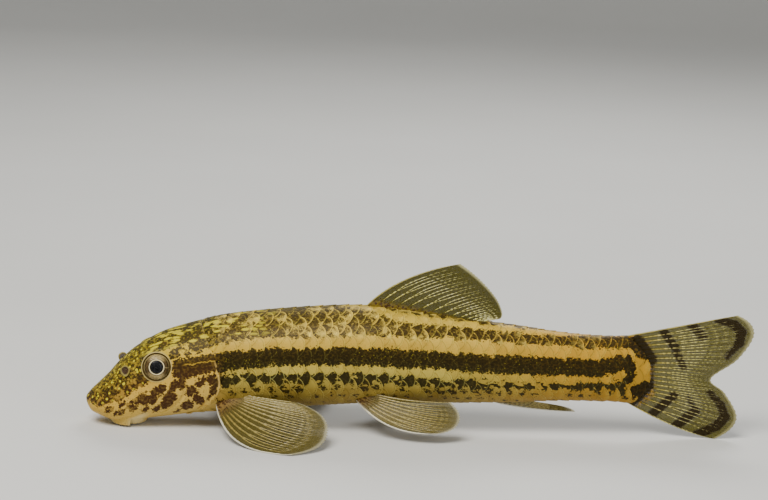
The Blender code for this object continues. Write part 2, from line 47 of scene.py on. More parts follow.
# The body's stations are those of the solids: distance, back, widest level, belly,
# half width, fullness of the upper and of the lower half
body = Settings(
    snoutTip=(-45.13, 3.30),
    stations=[
        (-44.5, 4.35, 3, 1.75, 1.75, 2, 2), (-43.3, 5.5, 3.1, 1.15, 3, 2, 2.2),
        (-42, 6.8, 3.45, 0.65, 3.75, 2, 2.4), (-40.6, 8.45, 4.1, 0.38, 4.25, 2, 2.6),
        (-38.8, 10.1, 4.9, 0.36, 4.55, 2.1, 2.7), (-36.9, 11.35, 5.6, 0.85, 4.8, 2.15, 2.7),
        (-34.6, 12.55, 6.4, 1.1, 5.1, 2.15, 2.6), (-31.3, 13.6, 7.2, 1.5, 5.5, 2.1, 2.5),
        (-27.3, 14.7, 8, 1.85, 5.75, 2.05, 2.45), (-21.9, 15.6, 8.8, 2.35, 5.85, 2, 2.4),
        (-14, 16.5, 9.6, 3.05, 5.8, 2, 2.3), (-8, 16.85, 10, 3.55, 5.65, 2, 2.2),
        (-3, 16.58, 10, 3.85, 5.4, 2, 2.1), (5, 15.6, 9.8, 3.95, 4.6, 2, 2),
        (12, 14.92, 9.6, 4.25, 3.75, 2, 2), (20, 14.03, 9.4, 4.73, 2.95, 2, 2),
        (25, 13.83, 9.3, 4.78, 2.35, 2, 2), (28.4, 14, 9.25, 4.58, 1.65, 2, 2),
        (32, 14.3, 9.2, 4.35, 0.6, 2, 2),
    ],
    turnAngle=math.radians(8.5), turnStart=-26.5, turnEnd=-31.5,
    gillRear=-26.7, gillLevel=-0.16, gillUpper=3.2, gillRounding=0.2, gillLower=7.7, gillPower=1.8,
    fleshEnd=28.25, fleshBulge=2.8, fleshTilt=0.35, mapStart=-46.0, mapLength=80.0,
)


# Smooth rules of the body

def keySlopes(knots, values):
    slopes = np.empty_like(values)
    slopes[1:-1] = (values[2:] - values[:-2]) / (knots[2:] - knots[:-2])[:, None]
    slopes[0] = 2 * (values[1] - values[0]) / (knots[1] - knots[0]) - slopes[1]
    slopes[-1] = 2 * (values[-1] - values[-2]) / (knots[-1] - knots[-2]) - slopes[-2]
    return slopes


def hermite(knots, values, slopes, at):
    span = np.clip(np.searchsorted(knots, at) - 1, 0, len(knots) - 2)
    width = (knots[span + 1] - knots[span])[:, None]
    t = ((at - knots[span]) / width[:, 0])[:, None]
    rise = (2 * t**3 - 3 * t**2 + 1) * values[span] + (3 * t**2 - 2 * t**3) * values[span + 1]
    return rise + width * ((t**3 - 2 * t**2 + t) * slopes[span] + (t**3 - t**2) * slopes[span + 1])


def denseStations(steps=24):
    tipX, tipZ = body.snoutTip
    rows = np.array([(tipX, tipZ, tipZ, tipZ, 0, 2, 2), *body.stations], float)
    knots = np.append(0.0, np.cumsum(np.hypot(np.diff(rows[:, 0]), np.diff(rows[:, 4] + rows[:, 1]))))
    slopes = keySlopes(knots, rows)
    slopes[0] = (rows[1] - rows[1][[0, 3, 2, 1, 4, 5, 6]] * (1, 1, 1, 1, -1, 1, 1)) / (2 * knots[1])
    spread = (knots[:-1, None] + np.diff(knots)[:, None] * np.arange(steps) / steps).ravel()
    return hermite(knots, rows, slopes, np.append(spread, knots[-1]))


stationRows = denseStations()


def powered(value, power):
    return np.sign(value) * np.abs(value) ** (2.0 / power)


def straightPoint(x, angle, lift=0.0):
    places, *sizes = stationRows.T
    back, wide, belly, half, upper, lower = (np.interp(x, places, size) for size in sizes)
    top = np.sin(angle) >= 0
    power = np.where(top, upper, lower)
    reach = np.where(top, back - wide, wide - belly) + lift
    return np.stack([x + 0 * angle, (half + lift) * powered(np.cos(angle), power),
                     wide + reach * powered(np.sin(angle), power)], axis=-1)


def turned(points):
    x, y, z = points.T
    rate = body.turnAngle / (body.turnStart - body.turnEnd)
    angle = np.clip(rate * (body.turnStart - x), 0, body.turnAngle)
    beyond = np.maximum(0.0, body.turnEnd - x)
    axisX = np.where(angle > 0, body.turnStart - np.sin(angle) / rate, x) - beyond * np.cos(angle)
    axisY = (np.cos(angle) - 1) / rate - beyond * np.sin(angle)
    return np.stack([axisX - y * np.sin(angle), axisY + y * np.cos(angle), z], axis=-1)


def gillX(angle):
    above = np.sin(angle) - body.gillLevel
    rising = body.gillUpper * (np.hypot(above, body.gillRounding) - body.gillRounding)
    falling = body.gillLower * np.maximum(-above, 0) ** body.gillPower
    return body.gillRear - np.where(above >= 0, rising, falling)


def fleshEndX(angle):
    return body.fleshEnd + body.fleshBulge * np.cos(angle) ** 2 - body.fleshTilt * np.sin(angle)


def mapU(x):
    return (x - body.mapStart) / body.mapLength


def mapV(angle):
    return (angle + math.pi / 2) / (2 * math.pi)


def smoothStep(value, low, high):
    t = np.clip((value - low) / (high - low), 0, 1)
    return t * t * (3 - 2 * t)


def hump(value, centre, width):
    return np.exp(-((value - centre) / width) ** 2)


def sidePoint(point, side):
    return np.array([point[0], side * point[1], point[2]], float)


def unit(vector):
    return np.asarray(vector, float) / np.linalg.norm(vector)


# Level: millimetres along the skin above the line of the middle stripe
midLine = Settings(x=(-45, -34, -30, -23, -16, -3, 5, 11, 17, 32),
                   angle=(10, 17, 14.5, 15, 12, 8.5, 9, 7, 8, 8))
arcX = np.linspace(-45.1, 32.0, 240)
arcAngle = np.radians(np.linspace(-90, 90, 181))
arcGrid = straightPoint(*np.meshgrid(arcX, arcAngle, indexing="ij"))
arcLength = np.zeros(arcGrid.shape[:2])
arcLength[:, 1:] = np.cumsum(np.linalg.norm(np.diff(arcGrid, axis=1), axis=2), axis=1)


def arcAt(x, degrees):
    i = np.clip((x - arcX[0]) / (arcX[1] - arcX[0]), 0, len(arcX) - 1.001)
    j = np.clip(degrees + 90, 0, 179.999)
    i0, j0 = i.astype(int), j.astype(int)
    low, high = (arcLength[k, j0] * (1 - j + j0) + arcLength[k, j0 + 1] * (j - j0) for k in (i0, i0 + 1))
    return low * (1 - i + i0) + high * (i - i0)


def midArc(x):
    return arcAt(x, np.interp(x, midLine.x, midLine.angle))


def sideAngle(angle):
    return np.degrees(np.arcsin(np.clip(np.sin(angle), -1, 1)))


def levelAt(x, angle):
    x = np.asarray(x, float) + 0 * angle
    return arcAt(x, sideAngle(angle)) - midArc(x)


def angleAtLevel(x, level):
    row = arcLength[int(round((x - arcX[0]) / (arcX[1] - arcX[0])))]
    arc = float(midArc(x)) + level
    return float(np.interp(arc, row, arcAngle)), arc, row[-1]


# Markings, as distance inside a dark patch in millimetres, for the skin and the scales alike
headBlotches = [
    (-42.8, 54, 0.62), (-44.0, 54, 0.55), (-44.2, 19, 0.48), (-43.3, 10, 0.55), (-41.9, 36, 0.62),
    (-40.9, 37, 0.62), (-39.9, 34, 0.69), (-38.5, 27, 0.76), (-37.5, 16, 0.62), (-39.7, 23, 0.62),
    (-41.1, 19, 0.62), (-42.0, 14, 0.48), (-40.7, 7, 0.48), (-39.6, 10, 0.55), (-38.7, 14, 0.62),
    (-40.4, 61, 0.62), (-38.5, 40, 0.55), (-38.0, 15, 0.55), (-40.5, -6, 0.34), (-42.2, -13, 0.41),
    (-40.6, -23, 0.39), (-41.2, -24, 0.28), (-39.3, -10, 0.48), (-38.5, -8, 0.48), (-38.0, -5, 0.62),
    (-37.3, -9, 0.55), (-36.3, -12, 0.55), (-36.1, -2, 0.55), (-35.4, -2, 0.62), (-34.5, -13, 0.62),
    (-33.9, -16, 0.62), (-34.6, -25, 0.69), (-35.9, -31, 0.41), (-37.4, -26, 0.34), (-38.9, -17, 0.41),
    (-33.9, -3, 0.48), (-33.5, -1, 0.62), (-32.7, -2, 0.55), (-32.6, 3, 0.48), (-33.4, 19, 0.62),
    (-32.6, 13, 0.55), (-31.8, 8, 0.55), (-29.9, -1, 0.83), (-28.1, -2, 0.69), (-27.3, -6, 0.55),
    (-27.8, -16, 0.62), (-28.4, -23, 0.34), (-31.3, -11, 0.69), (-30.3, -21, 0.69), (-29.8, -29, 0.48),
    (-31.8, -34, 0.76), (-33.6, 36, 0.62), (-32.9, 42, 0.41), (-30.9, 41, 0.69), (-29.7, 41, 0.69),
    (-31.7, 58, 0.55), (-32.6, 54, 0.55), (-33.1, -47, 0.28), (-31.9, 33, 0.32), (-30.3, 33, 0.34),
    (-28.7, 37, 0.40), (-30.1, 48, 0.42), (-28.6, 47, 0.36), (-33.2, 49, 0.30),
]
tailBlotches = [
    (26.2, 0.6, 1.25), (27.6, 1.2, 0.85), (28.0, 0.2, 0.88), (28.2, -0.8, 0.80), (27.9, -1.6, 0.55),
    (28.9, 3.5, 1.35), (29.9, 2.6, 1.30), (30.8, 1.4, 0.80), (29.2, -3.5, 0.85), (30.1, -2.7, 0.85),
]
paleSpots = [
    (-29.3, -3.62, 0.85), (-31.6, -2.2, 0.40), (-30.8, -1.75, 0.50), (-29.9, -1.45, 0.46),
    (-29.0, -1.32, 0.44), (-28.1, -1.30, 0.42), (-27.2, -1.32, 0.40), (-26.4, -1.40, 0.42),
    (-32.4, 0.4, 0.25), (-31.2, -0.2, 0.22),
]
marks = Settings(
    stripeHalf=1.30, stripeEnds=(-34.0, 25.6), stripeRates=(0.6, 0.6), blotchGrow=0.20, rightShift=0.45,
    tailSharp=1.8, faceEnd=-26.0, sideStart=-34, paleGrow=0.1,
    spotX=(-26, -16, -3, 4, 11, 17, 24), spotLevel=(-2.65, -2.95, -3.20, -3.20, -3.00, -2.95, -2.75),
    spotHalf=(0.80, 0.84, 0.84, 0.78, 0.78, 0.72, 0.88), spotEnds=(-27.6, 27.0), spotRates=(0.5, 0.6),
    fleckHalf=0.12, fleckLevel=-4.75, fleckEnds=(-25.0, 8.0), fleckRates=(0.3, 0.2),
    backX=(-30, -20, -3, 6, 17, 26), backLow=(2.2, 2.5, 2.85, 3, 2.8, 2.55),
    backTop=(12, 12, 5.3, 5, 4.5, 4.9), backStart=-31.5, backRate=0.7, backMost=1.2, ridgeMost=1.0,
    crownX=(-44.5, -43.4, -43.0, -41.0, -39.2, -38.2, -37.5, -36.3, -34.5, -33.0, -31.4, -30.0, -29.0, -26.0),
    crownLow=(-0.3, -0.1, -0.5, -0.7, -0.83, -0.55, 1.4, 2.85, 2.90, 3.0, 3.4, 4.1, 4.8, 7.0),
    ridgeX=(-45, -12, -4, 6, 26), ridgeLow=(12.0, 12.0, 7.2, 6.1, 4.9),
    rimLevel=(-8, -3.9, -2.6, -1.4, 0, 1.2, 2.2, 3.5, 9),
    rimWidth=(0.20, 0.06, -0.02, -0.14, -0.32, -0.18, -0.04, 0.05, 0.08),
    rimFadeX=(-12, 4, 14), rimFade=(1.0, 0.55, 0.15), rimGillX=(-27, -21), rimGill=(0.25, 0.0),
    rimTailX=(27.6, 28.6), rimTail=(0.0, 0.8), rimSideX=(2, 14), rimSide=(0.0, 0.10), rimSideTop=2.0,
    unrestLevel=(-9, -4.5, -3, -1.5, 0, 1.5, 3, 9), unrest=(0.3, 0.6, 1.0, 0.3, 0.15, 0.35, 0.5, 0.5),
    wearLevel=(2.0, 3.0), wear=(0.0, 0.42), wearX=(-2, 12), wearFade=(1.0, 0.4), wearMiddle=0.42,
    speckSize=0.43, speckAt=0.64, speckLong=2.0, speckWide=1.4, speckTop=-3.6, speckRare=0.12,
    speckLevel=(-9, -4), speckLess=(0.25, 0.0),
)


def bandDepth(x, level, half, middle, ends, rates):
    depth = half - np.abs(level - middle)
    return np.minimum(np.minimum(depth, (x - ends[0]) * rates[0]), (ends[1] - x) * rates[1])


def markAt(x, where, value):
    return np.interp(x, marks[where], marks[value])


def patchDepth(x, level, side):
    x0 = x - np.where(side > 0, marks.rightShift, 0.0)
    depth = bandDepth(x, level, marks.stripeHalf, 0, marks.stripeEnds, marks.stripeRates)
    for px, pl, radius in tailBlotches:
        depth = np.maximum(depth, marks.tailSharp * (radius - np.hypot(x - px, level - pl)))
    half, middle = markAt(x, "spotX", "spotHalf"), markAt(x, "spotX", "spotLevel")
    depth = np.maximum(depth, bandDepth(x, level, half, middle, marks.spotEnds, marks.spotRates))
    flecks = bandDepth(x, level, marks.fleckHalf, marks.fleckLevel, marks.fleckEnds, marks.fleckRates)
    back = np.minimum(level - markAt(x, "backX", "backLow"), markAt(x, "backX", "backTop") - level)
    back = np.minimum(np.minimum(back, (x - marks.backStart) * marks.backRate), marks.backMost)
    ridge = np.minimum(level - markAt(x, "ridgeX", "ridgeLow"), marks.ridgeMost)
    for more in (flecks, back, ridge):
        depth = np.maximum(depth, more)
    face = np.minimum(level - markAt(x, "crownX", "crownLow"), marks.backMost)
    for px, degrees, radius in headBlotches:
        centre = levelAt(px, math.radians(degrees))
        face = np.maximum(face, radius + marks.blotchGrow - np.hypot(x0 - px, level - centre))
    for px, pl, radius in paleSpots:
        face = np.minimum(face, np.hypot(x0 - px, level - pl) - radius + marks.paleGrow)
    return np.where(x < marks.faceEnd, np.maximum(face, np.where(x > marks.sideStart, depth, -3)), depth)


def rimWidthAt(x, level):
    width = markAt(level, "rimLevel", "rimWidth")
    width = np.where(width > 0, width * markAt(x, "rimFadeX", "rimFade"), width)
    ends = markAt(x, "rimGillX", "rimGill") + markAt(x, "rimTailX", "rimTail")
    return width - ends - np.where(level < marks.rimSideTop, markAt(x, "rimSideX", "rimSide"), 0.0)


print("body rules ready")


# Meshes

def meshObject(name, points, faces, edges=()):
    mesh = bpy.data.meshes.new(name)
    mesh.from_pydata((np.asarray(points) * mm).tolist(), list(edges), faces)
    mesh.validate()
    piece = bpy.data.objects.new(name, mesh)
    bpy.context.scene.collection.objects.link(piece)
    return piece


def outward(piece):
    work = bmesh.new()
    work.from_mesh(piece.data)
    bmesh.ops.recalc_face_normals(work, faces=work.faces)
    if work.calc_volume(signed=True) < 0:
        bmesh.ops.reverse_faces(work, faces=work.faces)
    work.to_mesh(piece.data)
    work.free()
    piece.data.shade_smooth()


def pointValues(piece, **values):
    for name, numbers in values.items():
        layer = piece.data.attributes.new(name, "FLOAT", "POINT")
        layer.data.foreach_set("value", np.asarray(numbers, np.float32))


def readValues(piece, *names):
    found = np.empty((len(names), len(piece.data.vertices)), np.float32)
    for name, values in zip(names, found):
        piece.data.attributes[name].data.foreach_get("value", values)
    return found


def pointUv(piece, name, coords, closed=False):
    mesh = piece.data
    layer = mesh.uv_layers.new(name=name)
    corner = np.empty(len(mesh.loops), int)
    mesh.loops.foreach_get("vertex_index", corner)
    coords = coords[corner]
    if closed:                   # a face that crosses the map's side edge runs on past 1
        size = np.array([len(face.vertices) for face in mesh.polygons])
        start = np.cumsum(size) - size
        spread = np.maximum.reduceat(coords[:, 1], start) - np.minimum.reduceat(coords[:, 1], start)
        coords[:, 1] += np.repeat(spread > 0.5, size) & (coords[:, 1] < 0.5)
    layer.data.foreach_set("uv", coords.astype(np.float32).ravel())


def quads(grid, closed=False, flip=False):
    if closed:
        grid = np.hstack([grid, grid[:, :1]])
    corners = np.stack([grid[:-1, :-1], grid[:-1, 1:], grid[1:, 1:], grid[1:, :-1]], axis=-1).reshape(-1, 4)
    return (corners[:, [0, 3, 2, 1]] if flip else corners).tolist()


def fan(ring, end):
    ring = np.asarray(ring).tolist()
    return [(a, b, end) for a, b in zip(ring, ring[1:] + ring[:1])]


# Nodes: a value is a socket in a tree, and sums of values make the nodes

def srgb(*colour):
    return (*(((v / 255 + 0.055) / 1.055) ** 2.4 if v > 10 else v / 255 / 12.92 for v in colour), 1.0)


def feed(value, socket):
    if isinstance(value, Value):
        value.tree.links.new(value.socket, socket)
    else:
        socket.default_value = srgb(*value) if isinstance(value, tuple) else value


def addNode(tree, kind, inputs=(), output=0, **settings):
    node = tree.nodes.new(kind)
    for name, value in settings.items():
        setattr(node, name, value)
    for name, value in dict(inputs).items():
        feed(value, node.inputs[name])
    return Value(node.outputs[output])


class Value:
    def __init__(self, socket):
        self.tree, self.socket = socket.id_data, socket

    def maths(self, operation, *others, clamp=False):
        inputs = dict(enumerate((self, *others)))
        return addNode(self.tree, "ShaderNodeMath", inputs, operation=operation, use_clamp=clamp)

    def __add__(self, other):
        return self.maths("ADD", other)

    def __sub__(self, other):
        return self.maths("SUBTRACT", other)

    def __rsub__(self, other):
        return self.maths("MULTIPLY_ADD", -1.0, other)

    def __mul__(self, other):
        return self.maths("MULTIPLY", other)

    def __abs__(self):
        return self.maths("ABSOLUTE")

    def least(self, other):
        return self.maths("MINIMUM", other)

    def most(self, other):
        return self.maths("MAXIMUM", other)

    def ease(self, low, high, first=0.0, last=1.0):
        inputs = {"Value": self, "From Min": low, "From Max": high, "To Min": first, "To Max": last}
        return addNode(self.tree, "ShaderNodeMapRange", inputs, "Result", interpolation_type="SMOOTHSTEP")

    def blend(self, first, last):
        inputs = {"Factor": self, "A": first, "B": last}
        return addNode(self.tree, "ShaderNodeMix", inputs, "Result", data_type="RGBA")

    def ramp(self, *stops):
        node = self.tree.nodes.new("ShaderNodeValToRGB")
        elements = node.color_ramp.elements
        while len(elements) < len(stops):
            elements.new(0.5)
        for element, (place, *colour) in zip(elements, stops):
            element.position, element.color = place, srgb(*colour)
        feed(self, node.inputs["Fac"])
        return Value(node.outputs["Color"])

    def noise(self, scale, detail=2.0, roughness=0.55):
        inputs = {"Scale": scale, "Detail": detail, "Roughness": roughness, "Vector": self}
        return addNode(self.tree, "ShaderNodeTexNoise", inputs, "Fac")

    def cells(self, scale):
        return addNode(self.tree, "ShaderNodeTexVoronoi", {"Scale": scale, "Vector": self}, "Distance")

    def bump(self, distance, strength, after=None):
        inputs = {"Strength": strength, "Distance": distance * mm, "Height": self}
        if after:
            inputs["Normal"] = after
        return addNode(self.tree, "ShaderNodeBump", inputs, "Normal")


def plane(x, y):
    return addNode(x.tree, "ShaderNodeCombineXYZ", {"X": x, "Y": y})


def attributes(tree, *names):
    return [addNode(tree, "ShaderNodeAttribute", {}, "Fac", attribute_name=name) for name in names]


def millimetres(tree, stretch=(1, 1, 1)):
    node = tree.nodes.new("ShaderNodeMapping")
    node.inputs["Scale"].default_value = [s / mm for s in stretch]
    feed(addNode(tree, "ShaderNodeTexCoord", {}, "Object"), node.inputs["Vector"])
    return Value(node.outputs["Vector"])


def painted(colour, *layers):
    for amount, tint in layers:
        colour = amount.blend(colour, tint)
    return colour


def newFinish(name, numbers, looks, *details):
    material = bpy.data.materials.new(name)
    material.use_nodes = True
    tree = material.node_tree
    inputs = dict(zip(("Roughness", "Specular IOR Level", "Coat Weight", "Coat Roughness"), numbers))
    for key, value in {**inputs, **looks(tree, *details)}.items():
        feed(value, tree.nodes["Principled BSDF"].inputs[key])
    return material


def geometryTree(name, kinds):
    tree = bpy.data.node_groups.new(name, "GeometryNodeTree")
    keys = {}
    for label, kind in {"Geometry": "Geometry", **kinds, "Finish": "Material"}.items():
        socket = tree.interface.new_socket(label, in_out="INPUT", socket_type="NodeSocket" + kind)
        keys[label] = socket.identifier
    tree.interface.new_socket("Geometry", in_out="OUTPUT", socket_type="NodeSocketGeometry")
    start = tree.nodes.new("NodeGroupInput")
    return tree, keys, {label: Value(start.outputs[label]) for label in keys}


def named(tree, name, kind="FLOAT"):
    return addNode(tree, "GeometryNodeInputNamedAttribute", {"Name": name}, "Attribute", data_type=kind)


def dressed(tree, geometry, given):
    flat = addNode(tree, "GeometryNodeRealizeInstances", {"Geometry": geometry})
    dress = addNode(tree, "GeometryNodeSetMaterial", {"Geometry": flat, "Material": given["Finish"]})
    feed(dress, tree.nodes.new("NodeGroupOutput").inputs["Geometry"])


def grown(piece, tree, keys, **values):
    modifier = piece.modifiers.new("grown", "NODES")
    modifier.node_group = tree
    for label, value in values.items():
        modifier[keys[label]] = value
    graph = bpy.context.evaluated_depsgraph_get()
    mesh = bpy.data.meshes.new_from_object(piece.evaluated_get(graph))
    piece.modifiers.clear()
    piece.data = mesh


# Skin
skinMake = Settings(columns=256, headRings=190, collarRings=(0.05, 0.15, 0.35, 0.7, 1.2), trunkRings=84,
                    coatDepth=0.20, coverStep=0.30, coverReach=3.2, coverLevels=(-0.86, 0.62),
                    grooveDepth=0.16, grooveAt=5.4, grooveBow=1.2, grooveWidth=0.28,
                    flangeDepth=0.10, flangeAt=0.95, flangeWidth=0.22, headSpacing=1.15)
eye = Settings(place=(-35.95, 3.80, 8.60), axis=(-0.05, 1.0, 0.20), radius=1.86, rim=1.90, rimLift=0.72,
               rimWidth=0.16, blend=0.75, behind=-2.2, sink=0.28, corneaReach=1.77, corneaRise=0.05,
               corneaSteps=13, corneaShrink=0.97, corneaThick=0.05, backSteps=13, backShrink=0.985,
               front=[(0.02, 1.47), (0.35, 1.45), (0.65, 1.40), (0.84, 1.33), (0.90, 1.27), (0.93, 1.31),
                      (0.98, 1.33), (1.03, 1.30), (1.06, 1.26), (1.20, 1.20), (1.35, 1.12), (1.50, 1.01),
                      (1.62, 0.88), (1.70, 0.76)])
mouth = Settings(padX=-38.75, padLong=2.05, padWide=2.75, padMiddle=0.86, padHigh=0.98, padRound=0.44,
                 lipLong=2.80, lipWide=3.30, lipSweep=math.radians(78), lipRadius=0.38, lipLevel=0.52,
                 grooveDepth=0.22, grooveWidth=0.12, grooves=((-0.52, 1.0), (0.50, 0.8)), lipThin=0.45,
                 below=1.6, ahead=-33)
nostril = Settings(place=(-40.15, 3.35, 7.95), outward=(-0.35, 0.75, 0.62), radius=0.50, lip=0.16, bore=0.34,
                   high=0.30, deep=0.55, flapPlace=(-40.13, 3.72, 8.10), flapFacing=(-0.15, 1.0, 0.05),
                   flapLean=(-0.10, 0.0, 1.0), flapRings=(0.2, 0.38, 0.48, 0.56, 0.62), flapSteps=40,
                   flapNotch=0.28, flapThick=0.045, flapBead=(0.05, 0.54), flapBow=0.22)


def axial(points, centre, axis, side):
    axis = unit(sidePoint(axis, side))
    rel = points - sidePoint(centre, side)
    lift = rel @ axis
    return lift, np.linalg.norm(rel - lift[:, None] * axis, axis=1), axis


def roundHeight(radius, away):
    return np.sqrt(np.maximum(radius**2 - away**2, 0.0))


def eyeRelief(points):
    rim, width, crest = eye.rim, eye.rimWidth, eye.rimLift
    for side in (-1, 1):
        lift, away, axis = axial(points, eye.place, eye.axis, side)
        blend = 1 - smoothStep(away, rim + 0.5 * width, rim + eye.blend)
        target = lift + blend * (np.maximum(crest + roundHeight(width, away - rim), lift) - lift)
        ball = np.minimum(roundHeight(eye.radius, away) - eye.sink, crest)
        target = np.where(away < rim - width, ball, target)
        near = (away < rim + eye.blend) & (lift > eye.behind)
        points = points + np.where(near, target - lift, 0.0)[:, None] * axis
    return points


def orbitDistance(points):
    nearest = np.full(len(points), 9.0)
    for side in (-1, 1):
        lift, away, axis = axial(points, eye.place, eye.axis, side)
        nearest = np.where(lift > eye.behind, np.minimum(nearest, away), nearest)
    return nearest


def nostrilRelief(points):
    for side in (-1, 1):
        lift, away, axis = axial(points, nostril.place, nostril.outward, side)
        bead = nostril.high * hump(away, nostril.radius, nostril.lip)
        pit = nostril.deep * (1 - smoothStep(away, nostril.bore * 0.5, nostril.bore * 1.15))
        points = points + np.where(np.abs(lift) < 1.5, bead - pit, 0.0)[:, None] * axis
    return points


def mouthRelief(points):
    x, y, z = points.T
    ahead = x - mouth.padX
    reach = (ahead / mouth.padLong) ** 2 + (y / mouth.padWide) ** 2
    pad = mouth.padMiddle - mouth.padHigh * np.maximum(1 - reach, 0) ** mouth.padRound
    pad = np.where(reach < 1, np.maximum(pad, 0.0), 9.0)
    long, wide = ahead / mouth.lipLong, y / mouth.lipWide
    turn = np.arctan2(wide, -long)
    off = (np.hypot(long, wide) - 1) * np.hypot(mouth.lipLong * np.cos(turn), mouth.lipWide * np.sin(turn))
    share = np.abs(turn) / mouth.lipSweep
    radius = mouth.lipRadius * (1 - mouth.lipThin * np.minimum(share, 1) ** 2)
    lip = np.where((np.abs(off) < radius) & (share < 1), mouth.lipLevel - roundHeight(radius, off), 9.0)
    groove = sum(size * hump(off, at, mouth.grooveWidth) for at, size in mouth.grooves)
    groove = np.where(share < 1.08, groove, 0) * mouth.grooveDepth
    under = (z < mouth.below) & (x < mouth.ahead)
    shaped = np.minimum(np.minimum(z + groove, pad), lip)
    return np.stack([x, y, np.maximum(np.where(under, shaped, z), 0.0)], axis=-1)


def coverLift(angle, edge):
    low, high = skinMake.coverLevels
    rise = np.sin(angle)
    band = smoothStep(rise, low, low + 0.2) * (1 - smoothStep(rise, high - 0.35, high))
    step = skinMake.coverStep * np.exp(-np.maximum(edge, 0) / skinMake.coverReach)
    groove = hump(edge, skinMake.grooveAt + skinMake.grooveBow * rise**2, skinMake.grooveWidth)
    flange = hump(edge, skinMake.flangeAt, skinMake.flangeWidth)
    shape = (step - skinMake.grooveDepth * groove - skinMake.flangeDepth * flange) * band
    return np.where(edge >= -0.001, shape, 0.0) - skinMake.coatDepth * smoothStep(-edge, -0.01, 0.05)


def ringShares(count):
    return np.arange(1, count + 1)[:, None] / count


def makeSkin():
    columns = skinMake.columns
    angle = -math.pi / 2 + 2 * math.pi * (np.arange(columns) + 0.5) / columns
    tip, tipLevel = body.snoutTip
    gill = gillX(angle)
    collar = gill + np.array(skinMake.collarRings)[:, None]
    trunk = collar[-1] + (fleshEndX(angle) - collar[-1]) * ringShares(skinMake.trunkRings)
    head = tip + (gill - tip) * ringShares(skinMake.headRings) ** skinMake.headSpacing
    rings = np.vstack([head, collar, trunk])
    x, full = rings.ravel(), np.tile(angle, len(rings))
    edge = np.tile(gill, len(rings)) - x
    points = mouthRelief(nostrilRelief(eyeRelief(straightPoint(x, full, coverLift(full, edge)))))
    placed = turned(np.vstack([points, (tip, 0.0, tipLevel)]))
    grid = np.arange(len(x)).reshape(rings.shape)
    faces = quads(grid, closed=True, flip=True) + fan(range(columns), len(x))
    half = columns // 2                                      # the rear is closed from side to side
    faces += quads(np.stack([grid[-1, :half], grid[-1, :half - 1:-1]]))
    skin = meshObject("skin", placed, faces)
    coords = np.stack([mapU(np.append(x, tip)), np.append(mapV(full), 0.5)], axis=1)
    pointUv(skin, "bodyMap", coords, closed=True)
    outward(skin)
    level = levelAt(x, full)
    depth = patchDepth(x, level, np.where(points[:, 1] > 0, 1, -1))
    pointValues(skin, along=np.append(x, tip), level=np.append(level, 0), cover=np.append(edge, 9.0),
                orbit=np.append(orbitDistance(points), 9.0), patch=np.append(depth, -1))
    return skin


skin = makeSkin()
print("skin", len(skin.data.polygons), "faces")

# Scales: seats on the skin, and one template repeated by geometry nodes
coat = Settings(rowStep=1.48, pitchFront=1.84, pitchRear=1.50, pitchEnds=(-26, 28), overlap=1.75,
                spread=1.10, rootShare=0.52, rootReach=0.50, rootPower=0.6, seed=11, rise=0.17, rootRise=0.03,
                thick=0.05, bow=0.05, freeSegments=10, rootSegments=5, rings=(0.45, 0.75, 0.92, 1.0),
                gillGap=0.03, endGap=0.10, first=-34.3, last=31.5, columnEnd=33, rows=(-8, 8), shake=0.04,
                rightShift=0.3, edgeGap=0.15, shortest=0.42, endShrink=0.85, splitAt=-4, mapSize=0.003,
                seatPull=0.15, rowPull=0.20, rimPull=0.3,
                keptRow=-2, keptEnd=27, keptLevel=-2.05, keptRate=1.2)


def scaleTemplate():
    turns = [math.pi * (i / coat.freeSegments - 0.5) for i in range(coat.freeSegments + 1)]
    turns += [math.pi * (0.5 + (i + 1) / (coat.rootSegments + 1)) for i in range(coat.rootSegments)]
    count, middle = len(turns), coat.rootShare
    points, reach = [(middle, 0.0, 1.0)], [0.0]
    for ring in coat.rings:
        for turn in turns:
            out = math.cos(turn)
            length = (1 - middle) * out if out > 0 else -coat.rootReach * abs(out) ** coat.rootPower
            points.append((middle + ring * length, ring * math.sin(turn), 1.0))
            reach.append(ring)
    points += [(x, y, 0.0) for x, y, z in points[-count:]] + [(0.5, 0.0, 0.0)]
    reach += [1.0] * count + [0.0]
    grid = np.arange(1, len(points) - 1).reshape(-1, count)
    faces = fan(grid[0], 0) + quads(grid, closed=True, flip=True)
    faces += fan(grid[-1, ::-1], len(points) - 1)
    template = meshObject("scaleTemplate", np.array(points) / mm, faces)
    alongCell, acrossCell, upper = zip(*points)
    pointValues(template, reach=reach, acrossCell=acrossCell, alongCell=alongCell, upper=upper)
    return template


def scaleSeats():
    rng = np.random.default_rng(coat.seed)
    seats, columns = [], [coat.first]
    while columns[-1] < coat.columnEnd:
        pitch = np.interp(columns[-1], coat.pitchEnds, (coat.pitchFront, coat.pitchRear))
        columns.append(columns[-1] + float(pitch))
    margin = coat.edgeGap * coat.rowStep
    for side in (-1, 1):
        for row in range(*coat.rows):
            for base, following in zip(columns, columns[1:]):
                pitch = following - base
                x = base + (0.5 * pitch if row % 2 else 0.0) + (coat.rightShift if side > 0 else 0.0)
                x += float(rng.uniform(-coat.shake, coat.shake))
                if x > coat.last:
                    continue
                angle, arc, whole = angleAtLevel(x, row * coat.rowStep)
                if arc < margin or arc > whole - margin:
                    continue
                full = angle if side > 0 else math.pi - angle
                length = coat.overlap * pitch
                root = max(x - coat.rootShare * length, float(gillX(full)) + coat.gillGap)
                tip = min(x + (1 - coat.rootShare) * length, float(fleshEndX(full)) - coat.endGap)
                length = tip - root
                if length < coat.shortest * pitch:
                    continue
                shrink = 1.0 if length > pitch else coat.endShrink
                middle = root + coat.rootShare * length
                seats.append((middle, full, side, row, length, float(rng.random()), shrink))
    return np.array(seats)


